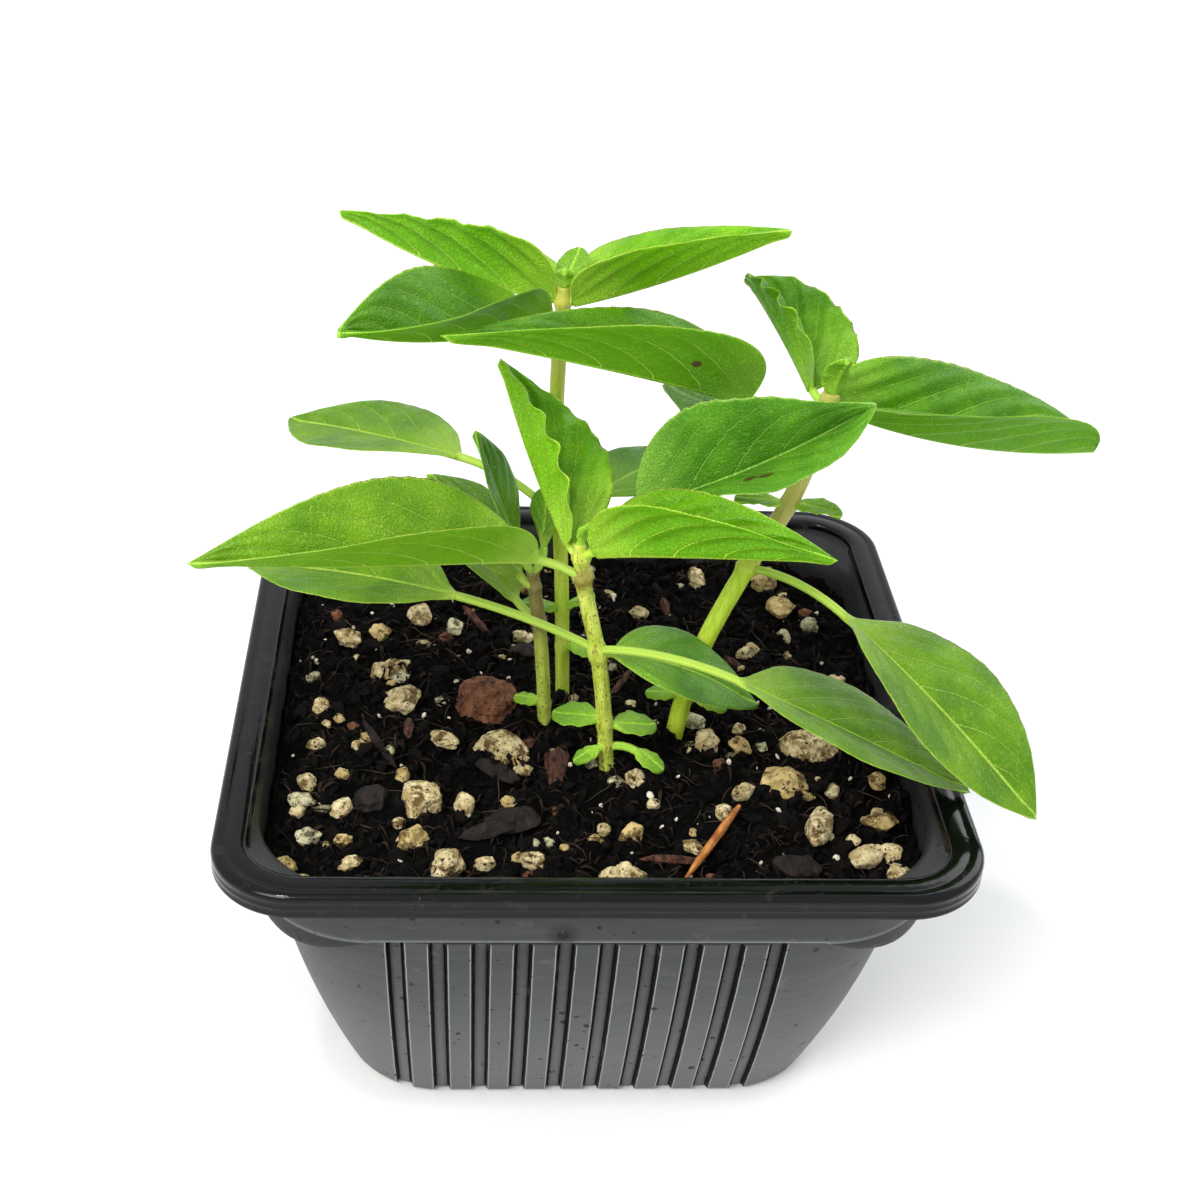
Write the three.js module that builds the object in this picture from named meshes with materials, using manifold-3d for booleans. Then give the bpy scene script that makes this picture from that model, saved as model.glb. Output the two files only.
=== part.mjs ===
// A young potted basil: four seedlings in a shallow square nursery pot of thin black plastic,
// filled with peat and pumice. Millimetres, +Z up. The origin is the centre of the pot's underside,
// and the face of the pot that is seen first looks along -Y.
import * as THREE from "three";
import Module from "manifold-3d";
import { mergeVertices } from "three/addons/utils/BufferGeometryUtils.js";

const wasm = await Module();
wasm.setup();

// ---- driving dimensions ----
const CLEARANCE = 0.3; // air between pieces that touch on the real plant

// pot: a square of 102 mm across the rim
const RIM_HALF = 51;
const POT_HEIGHT = 51;
const RIM_CORNER = 11.5;
const RIM_BAND = 4.6; // width of the rim, seen from above
const RIM_LIP = 3.6; // depth of the rolled lip
const RIM_ROUND = 0.9;
const COLLAR_HALF = 46.8;
const COLLAR_CORNER = 17;
const COLLAR_FOOT = 11.3; // how far below the rim's top the plain collar ends
const COLLAR_DIP = 3; // the collar hangs lower at the corners, as half-moon shoulders
const BODY_TOP_HALF = 46.5;
const BODY_BASE_HALF = 35;
const BODY_BELLY = 0.42; // how much the wall bulges between its top and its base
const BODY_TOP_CORNER = 26;
const BODY_BASE_CORNER = 14;
const WALL = 1.5; // over a rib
const FLOOR = 1.4;

// flutes pressed into each side of the pot
const FLUTES = 10;
const FLUTE_PITCH = 5.65;
const FLUTE_WIDTH = 2.2;
const FLUTE_SLOPE = 0.35; // width of each slanted flank
const FLUTE_DEPTH = 0.7;
const FLUTE_SHIFT = -1.7; // the row of flutes sits a little to one side
const FLUTE_CLOSING = 0.04; // share by which the row narrows towards the base

// drainage holes in the floor
const DRAIN_RADIUS = 3;
const DRAIN_RING = 24;
const DRAINS = 6;

// soil
const SOIL_LEVEL = 44;
const SOIL_BUMP = 0.7;
const ROOT_DEPTH = 9; // how far a stem goes on below the soil's level

// leaves
const BLADE = 0.8; // thickness
const BLADE_TIP = 0.35; // half width left at the tip
const BLADE_STEPS = 40; // steps of the walk along a midrib
const STALK_STEPS = 6;
const STALK_HALF = 0.6; // half width of a stalk
const STALK_KEEL = 0.45; // how far a stalk or midrib swells below the blade
const CUP = 0.08; // how far a blade's edges curl down again
const FOLD_FROM = 0.6; // half width where a blade starts to fold
const FOLD_OVER = 2.4; // further half width over which the fold grows to its full angle
const MITRE = 1.6; // how much thicker than a blade its fold may be
const TOOTH = 0.035; // share of the half width by which the edge steps in and out

const DEGREE = Math.PI / 180;

const materials = {
  plastic: new THREE.MeshStandardMaterial({ color: 0x26282a, roughness: 0.38, metalness: 0 }),
  peat: new THREE.MeshStandardMaterial({ color: 0x17120e, roughness: 0.95, metalness: 0 }),
  stem: new THREE.MeshStandardMaterial({ color: 0x93a845, roughness: 0.6, metalness: 0 }),
  leaf: new THREE.MeshStandardMaterial({ color: 0x4f9a1c, roughness: 0.5, metalness: 0 }),
  young: new THREE.MeshStandardMaterial({ color: 0x79b81c, roughness: 0.5, metalness: 0 }),
  pumice: new THREE.MeshStandardMaterial({ color: 0xcbb586, roughness: 0.9, metalness: 0 }),
  lava: new THREE.MeshStandardMaterial({ color: 0x5a382a, roughness: 0.9, metalness: 0 }),
  bark: new THREE.MeshStandardMaterial({ color: 0x4a3020, roughness: 0.9, metalness: 0 }),
  wood: new THREE.MeshStandardMaterial({ color: 0xa8642c, roughness: 0.8, metalness: 0 }),
};

// ---- solids ----

// A closed geometry as a solid that can be joined and cut.
function solidOf(geometry) {
  const bare = geometry.clone();
  bare.deleteAttribute("normal");
  bare.deleteAttribute("uv");
  const merged = mergeVertices(bare, 1e-4);
  return new wasm.Manifold(
    new wasm.Mesh({
      numProp: 3,
      vertProperties: new Float32Array(merged.attributes.position.array),
      triVerts: new Uint32Array(merged.index.array),
    })
  );
}

// A solid as a geometry again, with one vertex for each corner.
function geometryOf(solid) {
  const { vertProperties, triVerts } = solid.getMesh();
  const geometry = new THREE.BufferGeometry();
  geometry.setAttribute("position", new THREE.BufferAttribute(vertProperties, 3));
  geometry.setIndex(new THREE.BufferAttribute(triVerts, 1));
  geometry.computeVertexNormals();
  return geometry;
}

// The largest body of a solid: a cut can leave a loose scrap, which is dropped.
function largest(solid) {
  return solid.decompose().reduce((best, body) => (body.volume() > best.volume() ? body : best));
}

// Skins a row of rings, each a list of as many points, and closes both ends with a fan.
// turned(j) says where a quad is split along its other diagonal.
function skin(rings, turned = () => false) {
  const count = rings[0].length;
  const points = rings.flat();
  const faces = [];
  for (let i = 0; i < rings.length - 1; i += 1) {
    for (let j = 0; j < count; j += 1) {
      const next = (j + 1) % count;
      const a = i * count + j;
      const b = i * count + next;
      const c = (i + 1) * count + next;
      const d = (i + 1) * count + j;
      faces.push(...(turned(j) ? [a, b, d, b, c, d] : [a, b, c, a, c, d]));
    }
  }
  for (const [first, flipped] of [[0, true], [(rings.length - 1) * count, false]]) {
    const centre = new THREE.Vector3();
    points.slice(first, first + count).forEach((point) => centre.add(point));
    points.push(centre.divideScalar(count));
    for (let j = 0; j < count; j += 1) {
      const a = first + j;
      const b = first + ((j + 1) % count);
      faces.push(...(flipped ? [b, a, points.length - 1] : [a, b, points.length - 1]));
    }
  }
  const geometry = new THREE.BufferGeometry().setFromPoints(points);
  geometry.setIndex(signedVolume(points, faces) < 0 ? faces.reverse() : faces);
  return geometry;
}

function signedVolume(points, faces) {
  let volume = 0;
  for (let k = 0; k < faces.length; k += 3) {
    const [a, b, c] = [points[faces[k]], points[faces[k + 1]], points[faces[k + 2]]];
    volume += a.dot(b.clone().cross(c)) / 6;
  }
  return volume;
}

// A round rod along a smooth curve through the points.
function rod(points, radius, sides, steps) {
  const circle = new THREE.Shape();
  for (let k = 0; k < sides; k += 1) {
    const angle = (k / sides) * 2 * Math.PI;
    const [x, y] = [radius * Math.cos(angle), radius * Math.sin(angle)];
    if (k === 0) circle.moveTo(x, y);
    else circle.lineTo(x, y);
  }
  const extrudePath = new THREE.CatmullRomCurve3(points);
  return solidOf(new THREE.ExtrudeGeometry(circle, { steps, extrudePath }));
}

// ---- pot ----

// A square with round corners at height z, let down by dip in the middle of each corner.
function squareRing(half, corner, z, dip = 0) {
  const arc = 6;
  const ring = [];
  for (let side = 0; side < 4; side += 1) {
    for (let k = 0; k <= arc; k += 1) {
      const angle = (side * 90 + (k / arc) * 90) * DEGREE;
      const centre = (side * 90 + 45) * DEGREE;
      const reach = (half - corner) * Math.SQRT2;
      ring.push(
        new THREE.Vector3(
          reach * Math.cos(centre) + corner * Math.cos(angle),
          reach * Math.sin(centre) + corner * Math.sin(angle),
          z - dip * Math.sin((k / arc) * Math.PI)
        )
      );
    }
  }
  return ring;
}

// Share of the wall's height at z, from 0 at the base to 1 under the collar.
const wallShare = (z) => Math.min(1, z / (POT_HEIGHT - COLLAR_FOOT));

function bodyHalf(z) {
  const t = wallShare(z);
  return BODY_BASE_HALF + (BODY_TOP_HALF - BODY_BASE_HALF) * (t + BODY_BELLY * t * (1 - t));
}

const bodyCorner = (z) => THREE.MathUtils.lerp(BODY_BASE_CORNER, BODY_TOP_CORNER, wallShare(z));

// One ring of the fluted wall: the flutes on each side, then the corner up to the next side.
function flutedRing(z, depth) {
  const half = bodyHalf(z);
  const corner = bodyCorner(z);
  const flat = half - corner;
  const pitch = FLUTE_PITCH * (1 - FLUTE_CLOSING * (1 - wallShare(z)));
  const reach = (x) => {
    const past = Math.max(0, Math.abs(x) - flat);
    return flat + Math.sqrt(corner ** 2 - past ** 2);
  };
  const face = [];
  for (let k = 0; k < FLUTES; k += 1) {
    const middle = FLUTE_SHIFT + (k - (FLUTES - 1) / 2) * pitch;
    const [lip, bed] = [FLUTE_WIDTH / 2, FLUTE_WIDTH / 2 - FLUTE_SLOPE];
    const edges = [-lip, -bed, bed, lip];
    edges.forEach((offset, edge) => {
      const x = middle + offset;
      const cut = edge === 1 || edge === 2 ? depth : 0;
      face.push([x, reach(x) - cut]);
    });
  }
  const last = FLUTE_SHIFT + ((FLUTES - 1) / 2) * pitch + FLUTE_WIDTH / 2;
  const first = -FLUTE_SHIFT + ((FLUTES - 1) / 2) * pitch + FLUTE_WIDTH / 2;
  const from = Math.asin(Math.max(0, last - flat) / corner);
  const to = Math.PI / 2 - Math.asin(Math.max(0, first - flat) / corner);
  for (const share of [0.2, 0.4, 0.6, 0.8]) {
    const angle = THREE.MathUtils.lerp(from, to, share);
    face.push([flat + corner * Math.sin(angle), flat + corner * Math.cos(angle)]);
  }
  const ring = [];
  for (let side = 0; side < 4; side += 1) {
    const [c, s] = [Math.cos(side * 90 * DEGREE), Math.sin(side * 90 * DEGREE)];
    for (const [x, y] of face) ring.push(new THREE.Vector3(c * x + s * y, s * x - c * y, z));
  }
  return ring;
}

// Rings of the pot's inside, drawn in by inset: the cavity has none, the soil its clearance.
function insideRings(inset) {
  const rings = [FLOOR, 20].map((z) =>
    squareRing(bodyHalf(z) - WALL - inset, bodyCorner(z) - WALL - inset, z + inset)
  );
  const shelf = POT_HEIGHT - COLLAR_FOOT + WALL + inset;
  rings.push(squareRing(bodyHalf(shelf) - WALL - inset, BODY_TOP_CORNER - WALL - inset, shelf));
  rings.push(squareRing(COLLAR_HALF - WALL - inset, COLLAR_CORNER - WALL - inset, shelf + 0.2));
  return rings;
}

function makePot() {
  const foot = POT_HEIGHT - COLLAR_FOOT;
  const wall = skin([
    flutedRing(0, FLUTE_DEPTH),
    flutedRing(20, FLUTE_DEPTH),
    flutedRing(foot - 1, FLUTE_DEPTH),
    flutedRing(foot + 0.4, 0),
  ]);
  const lip = POT_HEIGHT - RIM_LIP;
  const crown = skin([
    squareRing(COLLAR_HALF - 1, COLLAR_CORNER - 1, foot, COLLAR_DIP),
    squareRing(COLLAR_HALF, COLLAR_CORNER, foot + 0.3, COLLAR_DIP),
    squareRing(COLLAR_HALF + 0.4, COLLAR_CORNER, lip),
    squareRing(RIM_HALF - 0.4, RIM_CORNER, lip),
    squareRing(RIM_HALF, RIM_CORNER, lip + 0.5),
    squareRing(RIM_HALF, RIM_CORNER, POT_HEIGHT - RIM_ROUND),
    squareRing(RIM_HALF - RIM_ROUND, RIM_CORNER, POT_HEIGHT),
    squareRing(RIM_HALF - RIM_BAND + 1, RIM_CORNER - 3, POT_HEIGHT),
    squareRing(RIM_HALF - RIM_BAND, RIM_CORNER - 4, POT_HEIGHT - 0.4),
  ]);
  const cavity = skin([
    ...insideRings(0),
    squareRing(COLLAR_HALF - WALL + 0.3, COLLAR_CORNER - WALL, POT_HEIGHT - 3),
    squareRing(RIM_HALF - RIM_BAND, RIM_CORNER - 4, POT_HEIGHT - 1.2),
    squareRing(RIM_HALF - RIM_BAND, RIM_CORNER - 4, POT_HEIGHT + 1),
  ]);
  let pot = solidOf(wall).add(solidOf(crown)).subtract(solidOf(cavity));
  for (let k = 0; k < DRAINS; k += 1) {
    const drain = new THREE.CylinderGeometry(DRAIN_RADIUS, DRAIN_RADIUS, 4 * FLOOR, 8);
    drain.rotateX(Math.PI / 2);
    const angle = (k / DRAINS) * 2 * Math.PI;
    drain.translate(DRAIN_RING * Math.cos(angle), DRAIN_RING * Math.sin(angle), FLOOR / 2);
    pot = pot.subtract(solidOf(drain));
  }
  return pot;
}

// ---- stems ----

// Each stem is a rod through the places where its leaves spring, and ends in a root in the soil.
const stems = {
  a: {
    width: 2.1,
    through: [[3.1, -15.1, 44.5], [-0.2, -15.1, 65.2], [-2.7, -15.1, 76.5], [-3.4, -15.1, 82]],
  },
  b: { width: 1.9, through: [[-5.8, -3.9, 44.5], [-7.5, -4.2, 59.5], [-9, -4.5, 71]] },
  c: { width: 2, through: [[-3, 3.2, 44.5], [-4.3, 3.2, 63.3], [-6.3, 3.2, 94.2], [-6, 3.2, 111]] },
  d: {
    width: 2.6,
    through: [
      [11.5, -6.9, 44.5],
      [15.9, -4.5, 58],
      [21.5, -2.4, 70.5],
      [27.2, -0.6, 81.1],
      [29.8, 0.7, 88.4],
      [31.7, 2.1, 96.7],
    ],
  },
};

// The point of a stem's axis at height z, on the straight line between its neighbours.
function onStem(name, z) {
  const { through } = stems[name];
  const k = Math.max(1, through.findIndex((p) => p[2] >= z));
  const [low, high] = [new THREE.Vector3(...through[k - 1]), new THREE.Vector3(...through[k])];
  return low.lerp(high, (z - low.z) / (high.z - low.z));
}

// The stem with its root and a knuckle at each pair of leaves, thickened all over by extra.
function stemSolid(name, extra) {
  const { width, through } = stems[name];
  const points = through.map((p) => new THREE.Vector3(...p));
  points[0].z = SOIL_LEVEL - ROOT_DEPTH;
  const radius = width / 2 + extra;
  points[0].z -= extra;
  let solid = rod(points, radius, 8, 2 * points.length);
  const heights = new Set(leaves.filter((leaf) => leaf.stem === name).map((leaf) => leaf.height));
  for (const height of heights) {
    const knuckle = new THREE.SphereGeometry(1, 8, 4);
    knuckle.rotateX(Math.PI / 2);
    knuckle.scale(radius * 1.3, radius * 1.3, 1.1 + extra);
    knuckle.translate(...onStem(name, height).toArray());
    solid = solid.add(solidOf(knuckle));
  }
  return solid;
}

// ---- leaves ----

// Angles are in degrees: turn is the compass direction a leaf leaves the stem in (0 is +X, 90 is
// +Y), rise its slope upward, droop how much that slope falls by the tip, sway how far it turns
// sideways, roll how far its right half is lifted, twist how that roll grows, and fold the lift of
// both halves from the midrib. petiole holds length, rise and turn. Lengths are in millimetres.
// widest is the share of the length where a blade is widest, and tip is under 1 for a blunt end.
const plain = {
  bend: 1, droop: 15, sway: 0, roll: 0, twist: 0, fold: 12, widest: 0.42, tip: 1, wave: 0.1, tone: "leaf",
};
const leaves = [
  { name: "a_low_left", stem: "a", height: 65, petiole: [20.7, 28, 174], turn: 162, rise: 5, droop: 21,
    sway: -9, length: 33.3, width: 18.5, roll: 1, fold: 14, widest: 0.45, tip: 1.05 },
  { name: "a_low_right", stem: "a", height: 65, petiole: [20.8, 25, -37], turn: -10, rise: -21,
    droop: 3, sway: -2, length: 36.5, width: 21.3, roll: 10, twist: -5, fold: 15, tip: 1.07 },
  { name: "a_axil", stem: "a", height: 63.8, petiole: [2.2, 40, 5], turn: 9, rise: -11, droop: 31,
    sway: -5, length: 24.7, width: 14.5, roll: -12, twist: 3, fold: 11, widest: 0.44, tip: 0.97 },
  { name: "a_up_left", stem: "a", height: 76.5, petiole: [8.8, 39, 186], turn: 216, rise: 23,
    droop: 20, bend: 0.45, sway: -33, length: 46.9, width: 22.1, roll: -8, twist: 23, fold: 56,
    widest: 0.4, tip: 1.07 },
  { name: "a_up_right", stem: "a", height: 77, petiole: [12.6, 61, 71], turn: 8, rise: 15, droop: -21,
    sway: -6, length: 35.1, width: 23.6, roll: -16, twist: -49, fold: 57, widest: 0.39, tip: 0.88 },
  { name: "a_young_right", stem: "a", height: 79.5, petiole: [3.1, 64, -48], turn: -35, rise: 23,
    droop: 17, bend: 0.6, sway: 21, length: 33.6, width: 17, roll: 14, twist: -17, fold: 68,
    widest: 0.32, tip: 0.98, tone: "young" },
  { name: "a_young_up", stem: "a", height: 80, petiole: [2, 0, 142], turn: 128, rise: 45, droop: -10,
    sway: -7, length: 27.1, width: 19.6, roll: -20, twist: -21, fold: 54, widest: 0.36, tip: 1.06,
    wave: 0.3, tone: "young" },
  { name: "b_low_left", stem: "b", height: 62.5, petiole: [4.5, 26, 152], turn: 139, rise: 36,
    droop: 27, sway: -1, length: 21.5, width: 12, roll: -12, fold: 20 },
  { name: "b_left", stem: "b", height: 68.5, petiole: [3, 28, 189], turn: 163, rise: 57, droop: 26,
    length: 19.5, width: 13.5, roll: 5, fold: 10 },
  { name: "b_up", stem: "b", height: 71, petiole: [4.5, 45, 167], turn: 171, rise: 71, droop: 2,
    sway: -6, length: 18.5, width: 12.5, roll: -1, fold: 15 },
  { name: "b_small", stem: "b", height: 71, petiole: [3.5, 32, 22], turn: 80, rise: 75, droop: -2,
    sway: 2, length: 9.5, width: 7, roll: 51, fold: 13, widest: 0.6 },
  { name: "c_left_up", stem: "c", height: 109, petiole: [1, 38, 160], turn: 162, rise: 3, droop: -17,
    sway: -9, length: 32.8, width: 17.9, roll: -29, twist: 1, fold: 50, widest: 0.26, tip: 0.89,
    wave: 0.2, tone: "young" },
  { name: "c_right_up", stem: "c", height: 108.5, petiole: [1.2, 42, -2], turn: -1, rise: 12,
    droop: -9, bend: 0.5, sway: 13, length: 31.1, width: 18.3, roll: 15, twist: -2, fold: 44,
    widest: 0.29, tip: 0.86, tone: "young" },
  { name: "c_dark_left", stem: "c", height: 104.5, petiole: [3.6, 85, 191], turn: 223, rise: 2,
    droop: -22, sway: 2, length: 37.4, width: 20.2, roll: -18, twist: 42, fold: 52, widest: 0.41,
    tip: 0.79 },
  { name: "c_low_left", stem: "c", height: 75, petiole: [17.3, 46, 162], turn: 151, rise: 1, droop: 14,
    sway: -8, length: 31.7, width: 20.9, roll: -15, twist: 23, widest: 0.44, tip: 0.95 },
  { name: "c_low_right", stem: "c", height: 75, petiole: [7, 34, 26], turn: 43, rise: 9, droop: 23,
    sway: 2, length: 23.5, width: 14, fold: 5 },
  { name: "d_front_left", stem: "d", height: 90.5, petiole: [12.1, 22, 148], turn: 209, rise: 27,
    droop: 9, bend: 0.5, sway: -5, length: 50.2, width: 19.9, roll: -11, twist: 7, fold: 60,
    widest: 0.26, tip: 1.08 },
  { name: "d_pale_left", stem: "d", height: 87.5, petiole: [3.5, 33, 166], turn: 156, rise: 19,
    droop: 11, sway: -2, length: 20, width: 13, roll: 4, fold: 1 },
  { name: "d_low_right", stem: "d", height: 71, petiole: [16.9, 17, -42], turn: -42, rise: -22,
    droop: 14, sway: 1, length: 38.2, width: 22.8, roll: 22, twist: -39, fold: 18, tip: 1.01 },
  { name: "d_up_right", stem: "d", height: 96, petiole: [-1.4, 44, 8], turn: 0, rise: -23, droop: -23,
    sway: 9, length: 43, width: 23.2, roll: -16, twist: 34, fold: 50, widest: 0.5, tip: 0.45,
    tone: "young" },
  { name: "d_up", stem: "d", height: 95, petiole: [3.3, 13, 140], turn: 111, rise: 27, droop: 14,
    sway: -1, length: 22.9, width: 18.2, roll: -27, twist: 19, fold: 56, widest: 0.31, tip: 0.64,
    wave: 0.6, tone: "young" },
];

// Seed leaves and buds, too small to come apart from their stem: each is fused to it.
const tiny = { ...plain, fold: 8, droop: 10, wave: 0, widest: 0.5, tip: 0.6 };
const sprouts = [
  { stem: "a", height: 48.5, petiole: [1.5, 20, 200], turn: 205, rise: -10, length: 4.5, width: 3 },
  { stem: "a", height: 48.5, petiole: [4, 15, 0], turn: -35, rise: -12, length: 5, width: 3.6 },
  { stem: "a", height: 53, petiole: [1, 10, 160], turn: 165, rise: 4, length: 7, width: 6.2 },
  { stem: "a", height: 52, petiole: [1, 10, 20], turn: 10, rise: 0, length: 6.5, width: 6 },
  { stem: "a", height: 81.8, petiole: [0.5, 85, -50], turn: -50, rise: 74, length: 4, width: 2.6,
    fold: 20, tip: 1 },
  { stem: "b", height: 48, petiole: [1, 20, 170], turn: 170, rise: 10, length: 4, width: 3 },
  { stem: "c", height: 60, petiole: [1, 30, 200], turn: 200, rise: 25, length: 6, width: 4 },
  { stem: "c", height: 60, petiole: [1, 40, -20], turn: -20, rise: 45, length: 5, width: 3.4 },
  { stem: "c", height: 53.5, petiole: [1, 15, -10], turn: -15, rise: 0, length: 5, width: 4 },
  { stem: "c", height: 110.5, petiole: [0.5, 75, 60], turn: 60, rise: 50, length: 6, width: 4.5, fold: 10 },
  { stem: "c", height: 110.5, petiole: [0.5, 85, -95], turn: -95, rise: 72, length: 3.6,
    width: 2.6, fold: 20, tip: 1 },
  { stem: "d", height: 51, petiole: [1, 10, 170], turn: 175, rise: 5, length: 4.5, width: 3.6 },
  { stem: "d", height: 51, petiole: [2, 10, -15], turn: -20, rise: -5, length: 5, width: 3.6 },
  { stem: "d", height: 80.5, petiole: [1, 20, 185], turn: 185, rise: 15, length: 7, width: 4.5, fold: 20 },
  { stem: "d", height: 80.5, petiole: [1, 20, -20], turn: -15, rise: 4, length: 7, width: 4.6, fold: 20 },
  { stem: "d", height: 96.3, petiole: [0.5, 85, -70], turn: -70, rise: 76, length: 7, width: 4.4, fold: 26 },
];

// The way that a turn and a rise point.
function heading(turn, rise) {
  const level = Math.cos(rise * DEGREE);
  const [x, y] = [level * Math.cos(turn * DEGREE), level * Math.sin(turn * DEGREE)];
  return new THREE.Vector3(x, y, Math.sin(rise * DEGREE));
}

// Walks a length from start in even steps, along the heading at each share of the way.
function walk(start, length, steps, headingAt) {
  const points = [start.clone()];
  for (let k = 0; k < steps; k += 1) {
    const stride = headingAt((k + 0.5) / steps).multiplyScalar(length / steps);
    points.push(points[k].clone().add(stride));
  }
  return points;
}

// Half the blade's width at share t of its length, with shallow teeth: a hump with one end at the
// base and the other at the tip. It never falls below the stalk, which thins out to a blunt tip.
function halfWidth(leaf, t, tooth) {
  const peak = leaf.widest;
  const outline = (t / peak) ** ((leaf.tip * peak) / (1 - peak)) * ((1 - t) / (1 - peak)) ** leaf.tip;
  const least = THREE.MathUtils.lerp(STALK_HALF, BLADE_TIP, Math.min(1, 3 * t));
  return Math.max(least, (leaf.width / 2) * outline * (1 + tooth));
}

// The points around one section of a leaf: those above from its left edge to its right one, then
// those below on the way back. Each half is lifted by the fold, less where the blade is narrow.
// keel is the swelling of the midrib on the underside.
function section(spot, leaf, t, wide, keel, across) {
  const { centre, turn, rise, tilt } = spot;
  const ahead = heading(turn, rise);
  const level = new THREE.Vector3(Math.sin(turn * DEGREE), -Math.cos(turn * DEGREE), 0);
  const up = level.clone().cross(ahead);
  const roll = tilt * DEGREE;
  const right = level.clone().multiplyScalar(Math.cos(roll)).addScaledVector(up, Math.sin(roll));
  const normal = up.clone().multiplyScalar(Math.cos(roll)).addScaledVector(level, -Math.sin(roll));
  const grown = t > 0.5 ? 1 : THREE.MathUtils.clamp((wide - FOLD_FROM) / FOLD_OVER, 0, 1);
  const fold = leaf.fold * DEGREE * grown;
  const at = (v, height) => {
    const side = Math.sign(v);
    const along = Math.abs(v) * wide;
    const wave = leaf.wave * Math.abs(v) ** 3 * Math.sin(Math.PI * t);
    const ripple = wave * Math.sin((3 * t + v / 4) * 2 * Math.PI);
    const over = ripple - CUP * v * v * wide + (side ? height : height * Math.min(MITRE, 1 / Math.cos(fold)));
    return centre
      .clone()
      .addScaledVector(right, side * (along * Math.cos(fold) - over * Math.sin(fold)))
      .addScaledVector(normal, along * Math.sin(fold) + over * (side ? Math.cos(fold) : 1));
  };
  const above = across.map((v) => at(v, BLADE / 2));
  const below = across.map((v) => at(v, -BLADE / 2 - (v === 0 ? keel : 0)));
  return [...above, ...below.reverse()];
}

// A leaf with its stalk, as one skin from the middle of the stem to the tip of the blade.
function leafSolid(leaf, stations, across) {
  const base = onStem(leaf.stem, leaf.height);
  const [stalk, stalkRise, stalkTurn] = leaf.petiole;
  const stalkTurnAt = (s) => THREE.MathUtils.lerp(stalkTurn, leaf.turn, s);
  const stalkRiseAt = (s) => THREE.MathUtils.lerp(stalkRise, leaf.rise, s);
  const turnAt = (t) => leaf.turn + leaf.sway * t;
  const riseAt = (t) => leaf.rise - leaf.droop * t ** leaf.bend;
  const stalkLine = walk(base, stalk, STALK_STEPS, (s) => heading(stalkTurnAt(s), stalkRiseAt(s)));
  const start = stalkLine[STALK_STEPS];
  const midrib = walk(start, leaf.length, BLADE_STEPS, (t) => heading(turnAt(t), riseAt(t)));
  const stalkRings = stalk > 6 ? 3 : 2;
  const rings = [];
  for (let k = 0; k < stalkRings; k += 1) {
    const s = k / stalkRings;
    const centre = stalkLine[Math.round(s * STALK_STEPS)];
    const spot = { centre, turn: stalkTurnAt(s), rise: stalkRiseAt(s), tilt: leaf.roll * s };
    rings.push(section(spot, leaf, 0, STALK_HALF, STALK_KEEL, across));
  }
  for (let k = 0; k <= stations; k += 1) {
    const t = k / stations;
    const centre = midrib[Math.round(t * BLADE_STEPS)];
    const spot = { centre, turn: turnAt(t), rise: riseAt(t), tilt: leaf.roll + leaf.twist * t };
    const tooth = k > 0 && k < stations ? TOOTH * (k % 2 ? 1 : -1) : 0;
    rings.push(section(spot, leaf, t, halfWidth(leaf, t, tooth), STALK_KEEL * (1 - t), across));
  }
  return solidOf(skin(rings, (j) => j >= across.length));
}

// ---- soil, stones and bark ----

function soilHeight(x, y) {
  const waves = Math.sin(0.37 * x + 1.3) * Math.cos(0.41 * y - 0.4) + 0.6 * Math.sin(0.83 * x - 0.67 * y);
  const mound = 0.8 * Math.exp(-(x * x + y * y) / 900);
  return SOIL_LEVEL + SOIL_BUMP * waves + mound;
}

// Stones that lie in the soil: place, length, breadth, height and the way the length points.
const stones = [
  { name: "pumice_1", at: [-12.9, -10.6], size: [8.6, 6.6, 5], turn: -10, tone: "pumice" },
  { name: "pumice_2", at: [-24.3, -23], size: [7, 5.6, 5], turn: 70, tone: "pumice" },
  { name: "pumice_3", at: [-29.6, 10], size: [7, 4.6, 4], turn: 0, tone: "pumice" },
  { name: "pumice_4", at: [-20.4, -36.3], size: [6, 4.4, 4], turn: 75, tone: "pumice" },
  { name: "pumice_5", at: [3.4, -38.6], size: [7, 5.4, 4.6], turn: -20, tone: "pumice" },
  { name: "pumice_6", at: [28.1, -17.8], size: [9.4, 7, 6], turn: -55, tone: "pumice" },
  { name: "pumice_7", at: [33, -8.6], size: [10.6, 6.2, 5], turn: -15, tone: "pumice" },
  { name: "lava_stone", at: [-15, 0.8], size: [10.4, 9.4, 6], turn: 30, tone: "lava" },
  { name: "bark_chip", at: [26.8, -37], size: [7.2, 4.6, 3], turn: -10, tone: "bark" },
  { name: "bark_flake", at: [-12, -27.3], size: [8, 5.4, 2.4], turn: 15, tone: "bark" },
];

// Grit raised from the soil, by the same rule: place and size.
const grit = [
  [-39.8, -0.6, 3.8], [-21.1, -9.8, 3.8], [-40.3, -18.9, 2.8], [-40.6, -24.3, 3.4], [-35, -24.9, 3],
  [-18.1, -24.3, 3.6], [-39.2, -31.3, 3.4], [-33.2, -36, 2.8], [-15.3, -35.7, 3], [-8.9, -36.3, 3.2],
  [-26.4, -40.7, 2.6], [-27.6, 0.6, 5], [-25.2, -31.2, 4.6], [4.8, -30.9, 4.4], [6.3, -17.8, 3.8],
  [36.9, -34.6, 5], [40, -27.6, 4.4], [30.9, -29.5, 5.6], [41, -18.6, 4], [40.4, -39, 3.4],
  [-36.6, 17.2, 3.6], [-25.5, 23, 4.6], [-19.9, 20.8, 4], [32, 37.1, 4.6], [33.5, 28.3, 4.2],
  [37.8, 23.5, 3.6], [26.8, 17, 3.8], [20.7, 38.4, 4.4], [17.1, -10, 4.6], [21.4, -21.2, 3.6],
  [-8, 34, 3.6], [-24, 38, 4], [2, 40, 3.4], [-38, 36, 3.8],
];

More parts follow.
